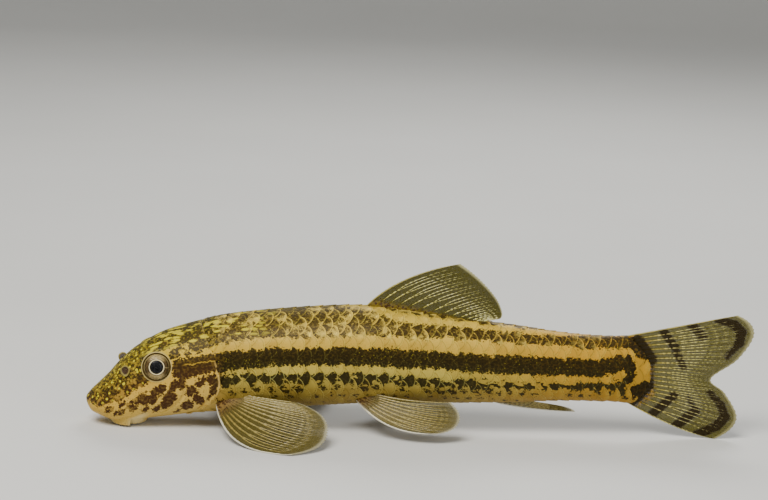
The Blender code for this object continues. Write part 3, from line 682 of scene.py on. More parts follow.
def coatTree():
    tree, keys, given = geometryTree("scaleCoat", dict(
        Scale="Object", Skin="Object", Rise="Float", RootRise="Float", Thickness="Float"))
    scale = addNode(tree, "GeometryNodeObjectInfo", {"Object": given["Scale"]}, "Geometry")
    seated = addNode(tree, "GeometryNodeInstanceOnPoints", {"Points": given["Geometry"], "Instance": scale})
    real = addNode(tree, "GeometryNodeRealizeInstances", {"Geometry": seated})
    alongCell, acrossCell = named(tree, "alongCell"), named(tree, "acrossCell")
    along = (alongCell - coat.rootShare) * named(tree, "seatLength") + named(tree, "seatU")
    across = acrossCell * named(tree, "seatWidth") + named(tree, "seatV")
    across = across - (across - 0.5 / skinMake.columns).maths("FLOOR")
    turn = across * (2 * math.pi)
    sine = turn.maths("SINE")
    limit = turn.maths("COSINE") * (body.fleshTilt / body.mapLength) + mapU(body.fleshEnd - 0.04)
    along = along.least(sine * sine * (body.fleshBulge / body.mapLength) + limit)
    surface = addNode(tree, "GeometryNodeObjectInfo", {"Object": given["Skin"]}, "Geometry")
    found = []
    for source in ("GeometryNodeInputPosition", "GeometryNodeInputNormal"):
        inputs = {"Mesh": surface, "Value": addNode(tree, source), "Sample UV": plane(along, across),
                  "Source UV Map": named(tree, "bodyMap", "FLOAT_VECTOR")}
        found.append(addNode(tree, "GeometryNodeSampleUVSurface", inputs, "Value", data_type="FLOAT_VECTOR"))
    tilt = alongCell * given["Rise"] + given["RootRise"]
    bow = (1.0 - acrossCell * acrossCell) * coat.bow
    height = (named(tree, "upper") * given["Thickness"] + (tilt + bow)) * mm
    lifted = addNode(tree, "ShaderNodeVectorMath", {0: found[1], "Scale": height}, operation="SCALE")
    total = addNode(tree, "ShaderNodeVectorMath", {0: found[0], 1: lifted})
    geometry = addNode(tree, "GeometryNodeSetPosition", {"Geometry": real, "Position": total})
    for name, value in (("mapU", along), ("mapV", across)):
        inputs = {"Geometry": geometry, "Name": name, "Value": value}
        geometry = addNode(tree, "GeometryNodeStoreNamedAttribute", inputs, data_type="FLOAT", domain="POINT")
    dressed(tree, geometry, given)
    return tree, keys


def makeScales(name, seats, template, coatNodes, material):
    x, full, side, row, length, seed, shrink = seats.T
    high, low = (np.clip(sideAngle(full) + step, -90, 90) for step in (4, -4))
    girth = (arcAt(x, high) - arcAt(x, low)) / (high - low) * 360
    piece = meshObject(name, np.zeros((len(seats), 3)), [])
    pointValues(piece, seatU=mapU(x), seatV=mapV(full) % 1.0, seatLength=length / body.mapLength,
                seatWidth=coat.spread * coat.rowStep * shrink / girth, seed=seed, row=row, side=side,
                seatX=x, cellSize=0.5 * length)
    grown(piece, *coatNodes, Scale=template, Skin=skin, Rise=coat.rise, RootRise=coat.rootRise,
          Thickness=coat.thick, Finish=material)
    u, v, side, row, seed, seatX = readValues(piece, "mapU", "mapV", "side", "row", "seed", "seatX")
    seatU, seatV, alongCell, acrossCell, reach, cellSize = readValues(
        piece, "seatU", "seatV", "alongCell", "acrossCell", "reach", "cellSize")
    x, full = u * body.mapLength + body.mapStart, v * 2 * math.pi - math.pi / 2
    level, seatLevel = levelAt(x, full), row * coat.rowStep
    pulledX, pulledLevel = x + coat.seatPull * (seatX - x), level + coat.rowPull * (seatLevel - level)
    depth = patchDepth(pulledX, pulledLevel, side)
    depth = depth + (seed - 0.5) * markAt(seatLevel, "unrestLevel", "unrest")
    kept = np.minimum(depth, (coat.keptLevel - level) * coat.keptRate)
    depth = np.where((row == coat.keptRow) & (x < coat.keptEnd), kept, depth)
    away = np.hypot((alongCell - marks.speckAt) * marks.speckLong, acrossCell * marks.speckWide)
    speck = marks.speckSize - away - markAt(seatLevel, "speckLevel", "speckLess")
    speck = np.where((seatLevel > marks.speckTop) | (seed < marks.speckRare), -9, speck)
    width = rimWidthAt(x, level + coat.rimPull * (seatLevel - level))
    wear = markAt(seatLevel, "wearLevel", "wear") * markAt(x, "wearX", "wearFade")
    width += (seed - marks.wearMiddle) * wear
    pointValues(piece, along=x, level=level, patch=np.maximum(depth, speck),
                rim=(1 - reach) * cellSize - width)
    spotU, spotV = seatU + (alongCell - 0.5) * coat.mapSize, seatV + acrossCell * 0.5 * coat.mapSize
    pointUv(piece, "OFBake", np.clip(np.stack([spotU, spotV], axis=1), 0.001, 0.999))
    piece.data.shade_smooth()
    piece.data.set_sharp_from_angle(angle=math.radians(50))
    return piece


# Skin and scale colours by level, from the belly at 0 to the back at 1, and how far each layer shows. The
# lowest stops of pale and rear are darkened as painted shade under the belly.
tones = dict(
    pale=((0.0, 108, 88, 34), (0.24, 134, 115, 52), (0.34, 164, 149, 70), (0.40, 178, 162, 74),
          (0.52, 172, 140, 48), (0.60, 184, 150, 58), (0.70, 206, 172, 72), (0.82, 204, 174, 66),
          (1.0, 140, 124, 36)),
    rear=((0.0, 120, 78, 6), (0.30, 146, 100, 10), (0.40, 168, 118, 18), (0.60, 178, 128, 28),
          (1.0, 174, 126, 26)),
    face=((0.0, 200, 172, 96), (0.36, 202, 166, 76), (0.50, 198, 156, 60), (0.62, 190, 160, 48),
          (0.80, 172, 152, 40), (1.0, 150, 144, 44)),
    shade=((0.0, 56, 38, 12), (0.30, 34, 30, 12), (0.42, 22, 20, 9), (0.50, 20, 14, 6), (0.58, 26, 18, 7),
           (0.68, 42, 29, 9), (0.85, 50, 38, 13), (1.0, 48, 42, 14)),
    faceShade=((0.0, 64, 36, 20), (0.45, 54, 32, 18), (0.58, 44, 34, 14), (1.0, 44, 42, 12)),
)
# Colours of the pale rims on the scales' free edges: the yellow net on the back is the fish's own colour, the
# whitish-green rims below the stripe are painted glints
rimNetAndGlintTones = ((0.0, 150, 132, 60), (0.36, 206, 204, 116), (0.60, 210, 192, 76), (1.0, 226, 204, 84))


def fishLook(tree, onScales):
    place = millimetres(tree)
    rough, fine, grain = place.noise(1.5, 3.0, 0.6), place.noise(5.5, 2.0, 0.6), place.cells(7.0)
    clumps = millimetres(tree, (1.0, 1.0, 1.25)).cells(2.7)
    along, level, patch = attributes(tree, "along", "level", "patch")
    high = level.maths("MULTIPLY_ADD", 1 / 18, 0.5, clamp=True)
    ragged = patch + (rough - 0.5) * 0.7 + (fine - 0.5) * 0.9 + (0.46 - clumps) * 0.50
    pale, rear, face, shade, faceShade = (high.ramp(*stops) for stops in tones.values())
    pale = painted(pale, (along.ease(2.0, 24.0, 0.0, 0.85), rear), (along.ease(-25.5, -27.5), face))
    onBack = level.ease(1.8, 3.0) * along.ease(28.0, 27.0)
    mottle = ((grain - 0.4) * 0.4 + fine).ease(0.40, 0.66)
    mottle = mottle * (onBack * along.ease(6.0, -14.0, 0.05, 0.20) + 0.03)
    mottle = mottle * along.ease(-32.0, -24.0, 0.35, 1.0)
    gaps = clumps.ease(0.52, 0.74) * high.ease(0.52, 0.66, 0.05, 0.24)
    gaps = gaps * along.ease(-25.0, -28.0) + gaps
    muzzle = rough.ease(0.50, 0.60, 0.0, 0.50) * along.ease(-36.5, -39.0)
    shade = painted(shade, (along.ease(-26.0, -28.5), faceShade), (mottle, (150, 128, 44)),
                    (along.ease(27.2, 28.4), (20, 14, 5)), (gaps.most(muzzle), pale))
    tinted = painted(pale, (rough * 0.28, (206, 170, 62)), (fine.ease(0.50, 0.72, 0.0, 0.42), (138, 116, 30)))
    dashes = plane(along * 0.62 + level * 0.25, level * 1.55).cells(1.0)
    dashes = (dashes + fine * 0.25).ease(0.56, 0.41) * level.ease(2.7, 3.6)
    if onScales:
        rim, seed, edge = attributes(tree, "rim", "seed", "reach")
        alongCell, acrossCell = attributes(tree, "alongCell", "acrossCell")
        ragged = ragged.least(rim + (fine - 0.5) * 0.60 + (rough - 0.5) * 0.62)
        holes = millimetres(tree, (1.0, 1.0, 1.4)).noise(0.9, 1.0) + along.ease(6.0, 18.0, 0.0, 0.07)
        holes = holes.ease(0.57, 0.68) * high.ease(0.42, 0.39) * along.ease(26.5, 25.5)
        ragged = ragged - holes * 0.9
        dark = ragged.ease(-0.07, 0.10)
        core = rim.ease(0.02, 0.45, 0.0, 0.40) * level.ease(1.8, 3.0)
        shade = core.blend(shade, (30, 20, 9))
        freeEdge = alongCell.ease(0.5, 0.7)
        glow = abs(acrossCell) * 1.25 + abs(alongCell - 0.98) * 2.1 + (fine - 0.5) * 1.3 + (rough - 0.5) * 0.8
        glow = glow.ease(0.56, 0.32) * seed.ease(0.35, 0.85, 0.0, 0.80) * onBack
        glow = glow * along.ease(12.0, -8.0, 0.45, 1.0)
        worn = seed.ease(0.1, 0.9, 0.0, 0.30) * (1.0 - dark)
        drift = place.noise(0.9, 2.0) + (fine - 0.5) * 0.6 + seed * 0.20
        drift = drift.ease(0.62, 0.80, 0.0, 0.62) * onBack * along.ease(14.0, -6.0, 0.3, 1.0)
        # Pale rim along each scale's free edge, weakest on the middle stripe: on the back the scales' own
        # yellow net, on the flanks painted glints of light along the edges
        rimNetAndGlint = edge.ease(0.90, 0.99) * freeEdge * (abs(level).ease(1.6, 1.0) * -0.36 + 0.46)
        rimNetAndGlint = rimNetAndGlint * (fine * 0.5 + rough * 0.5).ease(0.44, 0.60) * along.ease(-27.0, -22.0)
        rimNetAndGlint = rimNetAndGlint * along.ease(16.0, 0.0, 0.5, 1.0) * along.ease(28.6, 27.4, 0.25, 1.0)
        seam = edge.ease(0.80, 0.90) * edge.ease(0.96, 0.90) * freeEdge * (dark * -0.42 + 0.48)
        fleck = place.cells(2.6).ease(0.26, 0.12) * seed.ease(0.55, 0.8, 0.0, 0.46)
        fleck = fleck * abs(level).ease(1.3, 0.9)
        nape = dashes * along.ease(-17.0, -25.0, 0.0, 0.85)
        bright = alongCell.ease(0.62, 0.98) * seed.ease(0.9, 0.2, 0.0, 0.26) * fine.ease(0.40, 0.56)
        bright = bright * (1.0 - dark)
        layers = [(glow, (238, 208, 98)), (worn, (136, 104, 30)), (drift, (216, 186, 82)),
                  (rimNetAndGlint, high.ramp(*rimNetAndGlintTones)), (seam, (96, 80, 26)), (fleck, (156, 142, 36)),
                  (nape, (204, 186, 44)), (bright, (214, 186, 84))]
        normal = place.noise(9.0, 1.0).bump(0.03, 0.5)
    else:
        cover, orbit = attributes(tree, "cover", "orbit")
        dark = ragged.ease(-0.07, 0.10)
        specks = (place.cells(1.6) + rough * 0.75).ease(0.73, 0.58)
        specks = specks * level.ease(-1.2, 0.2) * along.ease(-36.5, -38.0)
        light = (dashes * along.ease(-38.5, -36.5)).most(specks)
        thread = abs(rough * 0.9 + (level - 0.75)).ease(0.13, 0.05)
        thread = thread * along.ease(-32.8, -32.0) * along.ease(-26.4, -27.4)
        hem = cover.ease(-0.05, 0.05) * (rough * 0.5 + cover).ease(0.65, 0.40)
        hem = hem * level.ease(0.6, -1.2, 0.15, 1.0) * level.ease(-6.4, -5.2)
        freckle = (place.cells(1.9) + fine * 0.6).ease(0.56, 0.44) * level.ease(-5.0, -4.0)
        brow = orbit.ease(1.90, 1.94) * orbit.ease(2.08, 2.03)
        lip = level.ease(-4.5, -5.2) * along.ease(-36.6, -38.0)
        layers = [(light * 0.85, (204, 186, 44)), (thread * 0.7, (180, 146, 50)),
                  (hem * 0.75, (206, 172, 96)), (freckle * 0.55, (84, 56, 26)), (brow * 0.85, (176, 160, 104)),
                  (orbit.ease(1.94, 1.90), (70, 54, 26)), (lip, (212, 192, 134))]
        normal = rough.bump(0.10, 0.3, grain.bump(0.05, 0.35))
    return {"Base Color": painted(tinted, (dark, shade), *layers), "Normal": normal,
            "Specular Tint": (255, 224, 150), "Coat Tint": (255, 236, 190), "Subsurface Weight": 0.04,
            "Subsurface Radius": [1.0, 0.6, 0.3], "Subsurface Scale": 0.4 * mm}


fishNumbers = (0.50, 0.20, 0.03, 0.15)
skin.data.materials.append(newFinish("skinFinish", fishNumbers, fishLook, False))
scaleFinish = newFinish("scaleFinish", fishNumbers, fishLook, True)
template, coatNodes, seats = scaleTemplate(), coatTree(), scaleSeats()
frontScales = makeScales("scalesFront", seats[seats[:, 0] < coat.splitAt], template, coatNodes, scaleFinish)
rearScales = makeScales("scalesRear", seats[seats[:, 0] >= coat.splitAt], template, coatNodes, scaleFinish)
bpy.data.objects.remove(template)
print("scales", len(seats))


# Eyes and nostril flaps

irisTones = ((0.0, 3, 3, 4), (0.448, 4, 4, 5), (0.462, 222, 204, 150), (0.508, 232, 214, 164),
             (0.530, 46, 34, 14), (0.64, 84, 64, 28), (0.78, 56, 42, 18), (0.85, 168, 148, 92),
             (0.88, 66, 50, 24), (1.0, 44, 34, 18))


def irisLook(tree):
    away, turn = attributes(tree, "away", "turn")
    rings = plane(away * 14.0, turn * 0.6).noise(1.0, 2.0)
    fibres = (rings * 0.7 + millimetres(tree).noise(4.0, 3.0) * 0.3).ease(0.25, 0.7)
    silver = abs(turn.maths("SINE")).ease(0.45, 1.0) * away.ease(1.03, 1.15) * away.ease(1.74, 1.55) * fibres
    return {"Base Color": silver.blend((away * 0.5).ramp(*irisTones), (196, 172, 112)),
            "Normal": (rings * away.ease(1.03, 1.10)).bump(0.03, 0.3)}


def corneaLook(tree):
    facing = addNode(tree, "ShaderNodeLayerWeight", {"Blend": 0.35}, "Facing")
    return {"Base Color": (24, 24, 22), "Alpha": facing.ease(0.35, 0.95, 0.0, 0.45)}


def flapLook(tree):
    away, = attributes(tree, "away")
    return {"Base Color": away.ease(0.42, 0.54).blend((70, 48, 22), (150, 136, 62)),
            "Alpha": away.ease(0.36, 0.52, 0.72, 0.95)}


def turnedProfile(name, profile, side, material, segments=64):
    axis = unit(sidePoint(eye.axis, side))
    up = unit(np.array([0, 0, 1]) - axis * axis[2])
    turns = 2 * math.pi * np.arange(segments) / segments
    ring = np.outer(np.cos(turns), np.cross(up, axis)) + np.outer(np.sin(turns), up)
    radii, heights = np.array(profile).T
    points = (radii[:, None, None] * ring + heights[:, None, None] * axis).reshape(-1, 3)
    points = np.vstack([points, heights[[0, -1], None] * axis]) + sidePoint(eye.place, side)
    grid = np.arange(len(profile) * segments).reshape(-1, segments)
    faces = quads(grid, closed=True) + fan(grid[0], grid.size) + fan(grid[-1], grid.size + 1)
    piece = meshObject(name, turned(points), faces)
    outward(piece)
    pointValues(piece, away=np.append(np.repeat(radii, segments), (0, 0)),
                turn=np.append(np.tile(turns, len(radii)), (0, 0)))
    piece.data.materials.append(material)
    return piece


def makeEye(word, side):
    radius, most, back = eye.radius, eye.corneaReach, eye.radius * eye.backShrink
    levels = [math.asin(0.40 - 1.40 * step / (eye.backSteps + 0.5)) for step in range(1, eye.backSteps + 1)]
    rear = [(back * math.cos(angle), back * math.sin(angle)) for angle in levels]
    ball = turnedProfile("eye" + word, eye.front + rear, side, irisFinish)
    dome = []
    for reach in np.linspace(0, most, eye.corneaSteps):
        rise = eye.corneaRise * (1 - (reach / most) ** 2)
        dome.append((max(reach, 0.02), math.sqrt(radius**2 - reach**2) + rise))
    inner = [(reach * eye.corneaShrink, height - eye.corneaThick) for reach, height in reversed(dome)]
    return ball, turnedProfile("cornea" + word, dome + inner, side, corneaFinish)


def makeFlap(word, side):
    steps, rings = nostril.flapSteps, nostril.flapRings
    out, lean = unit(sidePoint(nostril.flapFacing, side)), np.array(nostril.flapLean)
    rise = unit(lean - out * (lean @ out))
    turn, reach = np.tile(2 * math.pi * np.arange(steps) / steps, len(rings)), np.repeat(rings, steps)
    share = reach / rings[-1]
    height = reach * np.sin(turn) - nostril.flapNotch * np.maximum(0.0, -np.sin(turn)) ** 3 * share**2
    bead, beadAt = nostril.flapBead
    depth = (nostril.flapThick + bead * hump(reach, beadAt, bead)) * np.where(share == 1, 0.35, 1.0)
    flat = np.outer(reach * np.cos(turn), np.cross(rise, out)) + np.outer(height, rise)
    points = [flat + np.outer(way * depth - nostril.flapBow * (1 - share**2), out) for way in (1, -1)]
    grid, faces = np.arange(len(reach)).reshape(-1, steps), []
    for sheet in (grid, grid + grid.size):
        faces += [*quads(sheet, closed=True), sheet[0].tolist()]
    faces += quads(np.stack([grid[-1], grid[-1] + grid.size]), closed=True)
    points = np.vstack(points) + sidePoint(nostril.flapPlace, side)
    flap = meshObject("nostrilFlap" + word, turned(points), faces)
    outward(flap)
    pointValues(flap, away=np.tile(reach, 2))
    flap.data.materials.append(flapFinish)
    return flap


sides = (("Left", -1), ("Right", 1))
flapFinish = newFinish("flapFinish", (0.4, 0.4), flapLook)
irisFinish = newFinish("irisFinish", (0.45, 0.2, 0.06, 0.03), irisLook)
corneaFinish = newFinish("corneaFinish", (0.03, 0.5), corneaLook)
flaps = [makeFlap(word, side) for word, side in sides]
eyes = {word: makeEye(word, side) for word, side in sides}
print("eyes")


# Fins: key rays front to back as root, bend and tip, like the solids; fins of the middle give x and z only
tailBars = [  # start and end in x and z, half width, strength
    ((29.2, 13.4), (31.2, 10.8), 0.92, 1.0), ((31.5, 10.8), (31.6, 7.6), 0.32, 0.8),
    ((28.9, 4.9), (31.0, 7.2), 0.90, 1.0), ((32.5, 15.0), (34.3, 12.6), 0.72, 1.0),
    ((34.3, 12.6), (35.6, 9.9), 0.66, 0.75), ((36.3, 15.9), (38.0, 14.2), 0.74, 1.0),
    ((39.9, 16.6), (42.2, 16.1), 0.64, 0.95), ((42.2, 16.0), (43.2, 15.0), 0.80, 1.0),
    ((43.2, 15.0), (42.9, 13.4), 0.78, 1.0), ((42.9, 13.4), (41.5, 11.6), 0.60, 0.6),
    ((31.7, 3.1), (34.6, 5.9), 0.72, 1.0), ((34.8, 1.4), (37.6, 3.8), 0.76, 1.0),
    ((37.6, 3.8), (36.6, 5.6), 0.55, 0.5), ((38.0, 0.5), (40.6, 1.8), 0.74, 1.0),
    ((40.6, 1.8), (41.7, 3.1), 0.80, 1.0), ((41.7, 3.1), (41.0, 4.8), 0.70, 0.9),
    ((41.0, 4.8), (39.4, 6.4), 0.60, 0.65),
]
finKinds = dict(
    dorsal=Settings(
        rays=15, split=(0.34, 0.66), thick=0.12, start=0.02, flesh=0.22, look="backFin", wave=0.25, shape=[
        ((-7.9, 16.3), (-4.0, 21.2), (4.9, 23.05)), ((-3.9, 16.0), (0.4, 19.6), (7.6, 21.1)),
        ((1.6, 15.5), (5.0, 17.6), (9.8, 18.7)), ((5.6, 15.1), (8.0, 16.1), (10.75, 16.7)),
        ((7.2, 14.9), (8.8, 15.5), (10.5, 15.75))]),
    anal=Settings(
        rays=7, split=(0.5, 0.78), thick=0.11, start=0.02, flesh=0.42, look="sideFin", wave=0.0, shape=[
        ((8.9, 4.6), (12.0, 3.20), (21.3, 3.10)), ((10.7, 4.8), (14.2, 3.85), (20.4, 3.62)),
        ((12.5, 4.9), (15.0, 4.25), (18.2, 4.02))]),
    caudal=Settings(
        rays=19, split=(0.34, 0.64), thick=0.115, start=0.03, flesh=0.10, look="tailFin", wave=0.30, shape=[
        ((26.2, 13.55), (35.6, 15.65), (42.6, 17.28)), ((28.0, 12.5), (36.0, 13.2), (44.95, 15.0)),
        ((29.3, 10.8), (36.0, 11.3), (43.0, 11.3)), ((29.8, 9.2), (35.0, 9.1), (39.5, 8.35)),
        ((29.7, 7.6), (35.5, 6.8), (41.6, 6.3)), ((29.2, 6.3), (36.5, 4.6), (43.3, 2.8)),
        ((26.8, 5.6), (34.7, 0.95), (40.4, 0.02))]),
    pectoral=Settings(
        rays=14, split=(0.45, 0.75), thick=0.15, start=0.02, flesh=0.42, look="sideFin", wave=0.12, shape=[
        ((-27.2, 4.2, 3.9), (-25.9, 13.6, -0.75), (-16.5, 15.6, 0.25)),
        ((-26.7, 4.2, 4.2), (-23.0, 11.6, 0.9), (-13.1, 13.3, 0.75)),
        ((-26.2, 4.2, 4.5), (-20.5, 9.0, 2.6), (-12.0, 10.9, 2.0)),
        ((-25.7, 4.2, 4.8), (-19.6, 7.4, 4.1), (-12.8, 8.6, 3.6)),
        ((-25.2, 4.2, 5.1), (-20.6, 6.6, 5.1), (-16.2, 6.8, 4.85))]),
    pelvic=Settings(
        rays=9, split=(0.45, 0.75), thick=0.13, start=0.05, flesh=0.42, look="sideFin", wave=0.08, shape=[
        ((-8.8, 3.0, 5.0), (-4.9, 7.7, 1.0), (2.2, 8.0, 1.55)),
        ((-8.5, 3.1, 5.3), (-2.6, 7.2, 2.3), (4.8, 7.1, 2.15)),
        ((-8.2, 3.2, 5.6), (-1.6, 6.4, 3.6), (5.5, 6.2, 3.6)),
        ((-7.9, 3.3, 5.9), (-2.2, 5.8, 5.0), (4.2, 5.5, 5.3))]),
)
finLooks = dict(
    backFin=Settings(web=(60, 58, 8), ray=(214, 206, 126), rootRay=(238, 224, 112), tipRay=(200, 194, 142),
                     edge=(150, 138, 60), flesh=(112, 94, 28), alpha=0.85, line=0.30),
    sideFin=Settings(web=(88, 78, 24), ray=(168, 150, 78), rootRay=(150, 128, 60), tipRay=(206, 198, 160),
                     edge=(208, 202, 176), flesh=(122, 96, 50), alpha=0.60, line=0.9),
    tailFin=Settings(web=(78, 74, 12), ray=(222, 210, 124), rootRay=(226, 200, 88), tipRay=(192, 184, 128),
                     edge=(156, 142, 62), flesh=(180, 136, 44), alpha=0.78, line=0.5),
)
rayMake = Settings(gap=0.42, spread=0.30, jointLength=0.62, jointDepth=0.18, steps=46, sides=6, floor=0.10,
                   tip=0.975, leadGirth=0.95, branchGirth=0.78, twigGirth=0.6)
webMake = Settings(columns=8, rows=30, scallop=0.010, thin=0.035, rootThick=0.10, rayThick=0.02,
                   fleshReach=0.13, floor=0.01, waveAcross=9.0, waveAlong=2.0, waveSize=0.6)


def finPoint(fin, across, along):
    knots = np.linspace(0, 1, len(fin.shape))
    mixed = hermite(knots, fin.shape, keySlopes(knots, fin.shape), np.clip(across, 0, 1))
    root, bend, tip = mixed[:, 0:3], mixed[:, 3:6], mixed[:, 6:9]
    a = along[:, None]
    point = (1 - a) ** 2 * root + 2 * a * (1 - a) * bend + a**2 * tip
    ripple = np.sin(across * webMake.waveAcross + along * webMake.waveAlong)
    point[:, 1] += fin.wave * along**1.5 * ripple * webMake.waveSize
    return point


def finNormal(fin, across, along, step=0.01):
    over, out = (finPoint(fin, *np.clip([across + a, along + b], 0, 1))
                 - finPoint(fin, *np.clip([across - a, along - b], 0, 1)) for a, b in ((step, 0), (0, step)))
    normal = np.cross(over, out)
    return normal / np.maximum(np.linalg.norm(normal, axis=1), 1e-9)[:, None]


def barDepth(fin, points):
    x, z = points[:, 0], points[:, 2]
    depth = np.full(len(points), -2.0)
    for (ax, az), (bx, bz), half, strength in (tailBars if fin.look == "tailFin" else ()):
        runX, runZ = bx - ax, bz - az
        share = np.clip(((x - ax) * runX + (z - az) * runZ) / (runX**2 + runZ**2), 0, 1)
        away = np.hypot(x - ax - share * runX, z - az - share * runZ)
        depth = np.maximum(depth, np.clip((half - away) * 4, -1, 1.7) * strength)
    return depth


def makeMembrane(fin, material):
    spans = fin.rays - 1
    columns, rows = spans * webMake.columns + 1, webMake.rows
    across, down = np.linspace(0, 1, columns), np.linspace(0, 1, rows)
    ripple = np.abs(np.sin(np.pi * across * spans * 2))
    reach = 1 - webMake.scallop * ripple * (0.4 + 0.6 * np.sin(np.pi * across))
    shares = fin.start + (1 - fin.start) * down**0.9
    a = np.tile(across, rows)
    b = (shares[:, None] * reach ** down[:, None]).ravel()
    nearRay = np.abs(np.sin(np.pi * a * spans))
    half = webMake.thin + webMake.rootThick * (1 - b) ** 3 + webMake.rayThick * (1 - nearRay)
    half = half + fin.flesh * hump(b, 0, webMake.fleshReach) * (1 - 0.5 * np.abs(2 * a - 1))
    middle, offset = finPoint(fin, a, b), finNormal(fin, a, b) * half[:, None]
    points = np.vstack([middle + offset, middle - offset])
    points[:, 2] = np.maximum(points[:, 2], webMake.floor)
    count = len(a)
    grid = np.arange(count).reshape(rows, columns)
    edge = np.concatenate([grid[0], grid[1:, -1], grid[-1, -2::-1], grid[-2:0:-1, 0]])
    faces = quads(grid) + [face[::-1] for face in quads(grid + count)]
    faces += quads(np.stack([edge, edge + count]), closed=True)
    piece = meshObject(fin.name + "Membrane", points, faces)
    outward(piece)
    pointValues(piece, out=np.tile(b, 2), nearRay=np.tile(nearRay, 2), bars=barDepth(fin, points))
    piece.data.materials.append(material)
    return piece


def rayTree():
    tree, keys, given = geometryTree("finRays", dict(Sides="Int"))
    curve = addNode(tree, "GeometryNodeMeshToCurve", {"Mesh": given["Geometry"]})
    ring = addNode(tree, "GeometryNodeCurvePrimitiveCircle", {"Resolution": given["Sides"], "Radius": mm})
    tube = addNode(tree, "GeometryNodeCurveToMesh", {
        "Curve": curve, "Profile Curve": ring, "Scale": named(tree, "thick"), "Fill Caps": True})
    dressed(tree, tube, given)
    return tree, keys


def makeRays(fin, rayNodes, material):
    spans, (first, second) = fin.rays - 1, fin.split
    gap = rayMake.gap / spans
    lines = []                   # begins and ends across, begins and ends along, girth
    for i in range(fin.rays):
        centre = i / spans
        if i in (0, spans):
            lines.append((centre, centre, fin.start, 1.0, rayMake.leadGirth))
            continue
        lines.append((centre, centre, fin.start, first, 1.0))
        for way in (-0.5, 0.5):
            branch = centre + way * gap
            lines.append((centre, branch, first, second, rayMake.branchGirth))
            for small in (-1, 1):
                twig = branch + small * rayMake.spread * gap
                lines.append((branch, twig, second, rayMake.tip, rayMake.twigGirth))
    points, edges, values = [], [], []
    for begin, finish, low, high, size in lines:
        steps = max(int((high - low) * rayMake.steps), 6)
        share = np.linspace(0, 1, steps)
        along = low + (high - low) * share
        across = begin + (finish - begin) * (1 - (1 - np.minimum(share * 1.6, 1)) ** 2)
        line = finPoint(fin, np.clip(across, 0, 1), along)
        line[:, 2] = np.maximum(line[:, 2], rayMake.floor)
        run = low * 30 + np.append(0, np.cumsum(np.linalg.norm(np.diff(line, axis=0), axis=1)))
        edges += [(k, k + 1) for k in range(len(points), len(points) + steps - 1)]
        points += line.tolist()
        taper = fin.thick * size * (1.25 - 0.75 * along) * (1 - 0.6 * smoothStep(along, 0.86, 0.98))
        joint = 1 + rayMake.jointDepth * np.cos(2 * np.pi * run / rayMake.jointLength)
        joint = np.where(along > 0.25, joint, 1.0)
        values.append([taper * joint, along, run, np.full(steps, float(begin == 0))])
    thick, out, run, leading = np.hstack(values)
    piece = meshObject(fin.name + "Rays", points, [], edges)
    bars = barDepth(fin, np.array(points))
    pointValues(piece, thick=thick, out=out, runLength=run, leading=leading, bars=bars)
    grown(piece, *rayNodes, Sides=rayMake.sides, Finish=material)
    outward(piece)
    return piece


def webLook(tree, look):
    place = millimetres(tree)
    noise = place.noise(2.2, 3.0)
    out, bars, near = attributes(tree, "out", "bars", "nearRay")
    bars = (bars + (place.noise(4.5, 2.0) - 0.5) * 1.3 + (noise - 0.5) * 0.9).ease(-0.1, 0.8)
    line = near.ease(0.62, 0.35) * out.ease(0.98, 0.75) * noise.ease(0.3, 0.5) * look.line
    flesh = (place.cells(2.6) + noise * 0.5).ease(0.85, 0.60).blend(look.flesh, (66, 42, 22))
    base = painted(out.ease(0.955, 1.0).blend(look.web, look.tipRay), (noise * 0.4, (92, 84, 44)),
                   (line, (46, 40, 20)), ((noise * 0.10 + out).ease(0.26, 0.15), flesh), (bars, (28, 20, 6)))
    alpha = (noise * 0.25 + (look.alpha - 0.12)).most(bars * 0.92)
    return {"Base Color": base, "Alpha": alpha.most(out.ease(0.22, 0.05, 0.0, 0.95)).most(line * 0.8),
            "Normal": noise.bump(0.04, 0.4), "Specular Tint": (255, 228, 160)}


def rayLook(tree, look):
    out, bars, run, leading = attributes(tree, "out", "bars", "runLength", "leading")
    noise = millimetres(tree).noise(2.0, 2.0)
    joint = (run * (2 * math.pi / rayMake.jointLength)).maths("SINE").ease(-0.9, -0.2, 0.55, 0.0)
    dark = ((noise - 0.5) * 1.4 + bars).ease(0.0, 0.9, 0.0, 0.42)
    return {"Base Color": painted(
        out.ease(0.15, 0.55).blend(look.rootRay, look.ray), (out.ease(0.90, 1.0), look.tipRay),
        (joint, (104, 92, 48)), (noise * 0.5, look.web), (leading, look.edge), (dark, (48, 38, 20)))}


rayNodes, finFinishes, finPieces = rayTree(), {}, []
for name, look in finLooks.items():
    finFinishes[name] = (newFinish(name + "Web", (0.36, 0.25), webLook, look),
                         newFinish(name + "Ray", (0.34, 0.5, 0.3, 0.1), rayLook, look))
for kind, settings in finKinds.items():
    keys = np.array(settings.shape, float)
    paired = keys.shape[2] == 3
    for word, side in sides if paired else (("", 1),):
        rows = keys * (1, side, 1) if paired else np.insert(keys, 1, 0.0, axis=2)
        node = kind + "_fin" + ("_" + word.lower() if word else "")
        fin = Settings(settings, name=kind + "Fin" + word, node=node, shape=rows.reshape(len(keys), 9))
        web, ray = finFinishes[fin.look]
        finPieces.append((fin, makeMembrane(fin, web), makeRays(fin, rayNodes, ray)))
print("fins", len(finPieces))


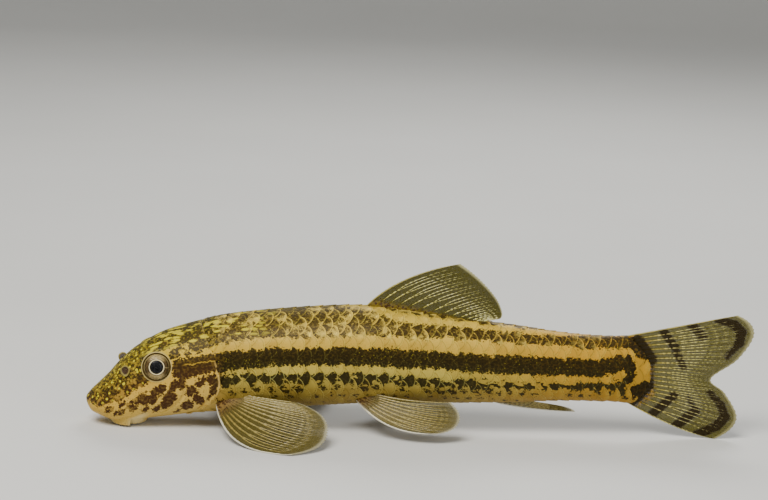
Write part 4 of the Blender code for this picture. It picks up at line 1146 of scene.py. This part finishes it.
# Floor, light and camera
stage = Settings(halfWidth=900.0, front=-700.0, bend=420.0, radius=260.0, height=520.0, steps=16)
sky = Settings(colour=(0.86, 0.88, 0.90, 1), strength=0.32)
lamps = [  # name, place, target, size, power, colour
    ("keyLight", (-120, -190, 330), (-5, 0, 8), (220, 180), 1.95, (1.0, 0.98, 0.94)),
    ("fillLight", (210, -260, 120), (0, 0, 8), (200, 160), 0.32, (0.96, 0.98, 1.0)),
    ("backLight", (60, 240, 230), (0, 0, 10), (200, 120), 0.55, (1.0, 1.0, 1.0)),
]
view = Settings(aim=(-5.467, 0.0, 24.625), distance=343.711, height=12.0, roll=2.03, lens=120.0, sensor=36.0)


def floorLook(tree):
    return {"Base Color": millimetres(tree).noise(0.02, 2.0).blend((206, 205, 200), (214, 213, 208))}


def makeFloor():
    outline = [(stage.front, 0.0), (stage.bend, 0.0)]
    for i in range(1, stage.steps + 1):
        angle = math.pi / 2 * i / stage.steps
        outline.append((stage.bend + stage.radius * math.sin(angle), stage.radius * (1 - math.cos(angle))))
    outline.append((stage.bend + stage.radius, stage.height))
    points = [(x, y, z) for y, z in outline for x in (-stage.halfWidth, stage.halfWidth)]
    floor = meshObject("floor", points, quads(np.arange(len(points)).reshape(-1, 2)))
    floor.data.shade_smooth()
    floor.data.materials.append(newFinish("floorFinish", (0.75, 0.3), floorLook))


def makeLights():
    for name, place, target, size, power, colour in lamps:
        light = bpy.data.lights.new(name, "AREA")
        light.shape = "RECTANGLE"
        light.size, light.size_y = size[0] * mm, size[1] * mm
        light.energy, light.color = power, colour
        lamp = bpy.data.objects.new(name, light)
        lamp.location = Vector(place) * mm
        lamp.rotation_euler = (Vector(target) - Vector(place)).to_track_quat("-Z", "Y").to_euler()
        bpy.context.scene.collection.objects.link(lamp)
    world = bpy.data.worlds.new("studio")
    bpy.context.scene.world = world
    world.use_nodes = True
    inputs = world.node_tree.nodes["Background"].inputs
    inputs["Color"].default_value, inputs["Strength"].default_value = sky.colour, sky.strength


def makeCamera():
    lens = bpy.data.cameras.new("camera")
    lens.lens, lens.sensor_width = view.lens, view.sensor
    lens.clip_start, lens.clip_end = 0.01, 10.0
    camera = bpy.data.objects.new("camera", lens)
    tilt = Matrix.Rotation(math.radians(90 - view.height), 4, "X")
    roll = Matrix.Rotation(math.radians(view.roll), 4, "Z")
    aim, back = Matrix.Translation(Vector(view.aim) * mm), Matrix.Translation((0, 0, view.distance * mm))
    camera.matrix_world = aim @ tilt @ roll @ back
    bpy.context.scene.collection.objects.link(camera)
    bpy.context.scene.camera = camera


makeFloor()
makeLights()
makeCamera()

# What each piece rides on and stands for
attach(skin, "root")
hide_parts("head", "trunk", "tail_stem", "gill_cover_left", "gill_cover_right", "upper_lip", "lower_lip")
for piece in (frontScales, rearScales):
    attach(piece, "root")
for flap in flaps:
    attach(flap, "root")
for word, (ball, cornea) in eyes.items():
    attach(ball, "root")
    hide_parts("eye_" + word.lower())
    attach(cornea, "root")
for fin, membrane, rays in finPieces:
    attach(membrane, "root")
    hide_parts(fin.node)
    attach(rays, "root")
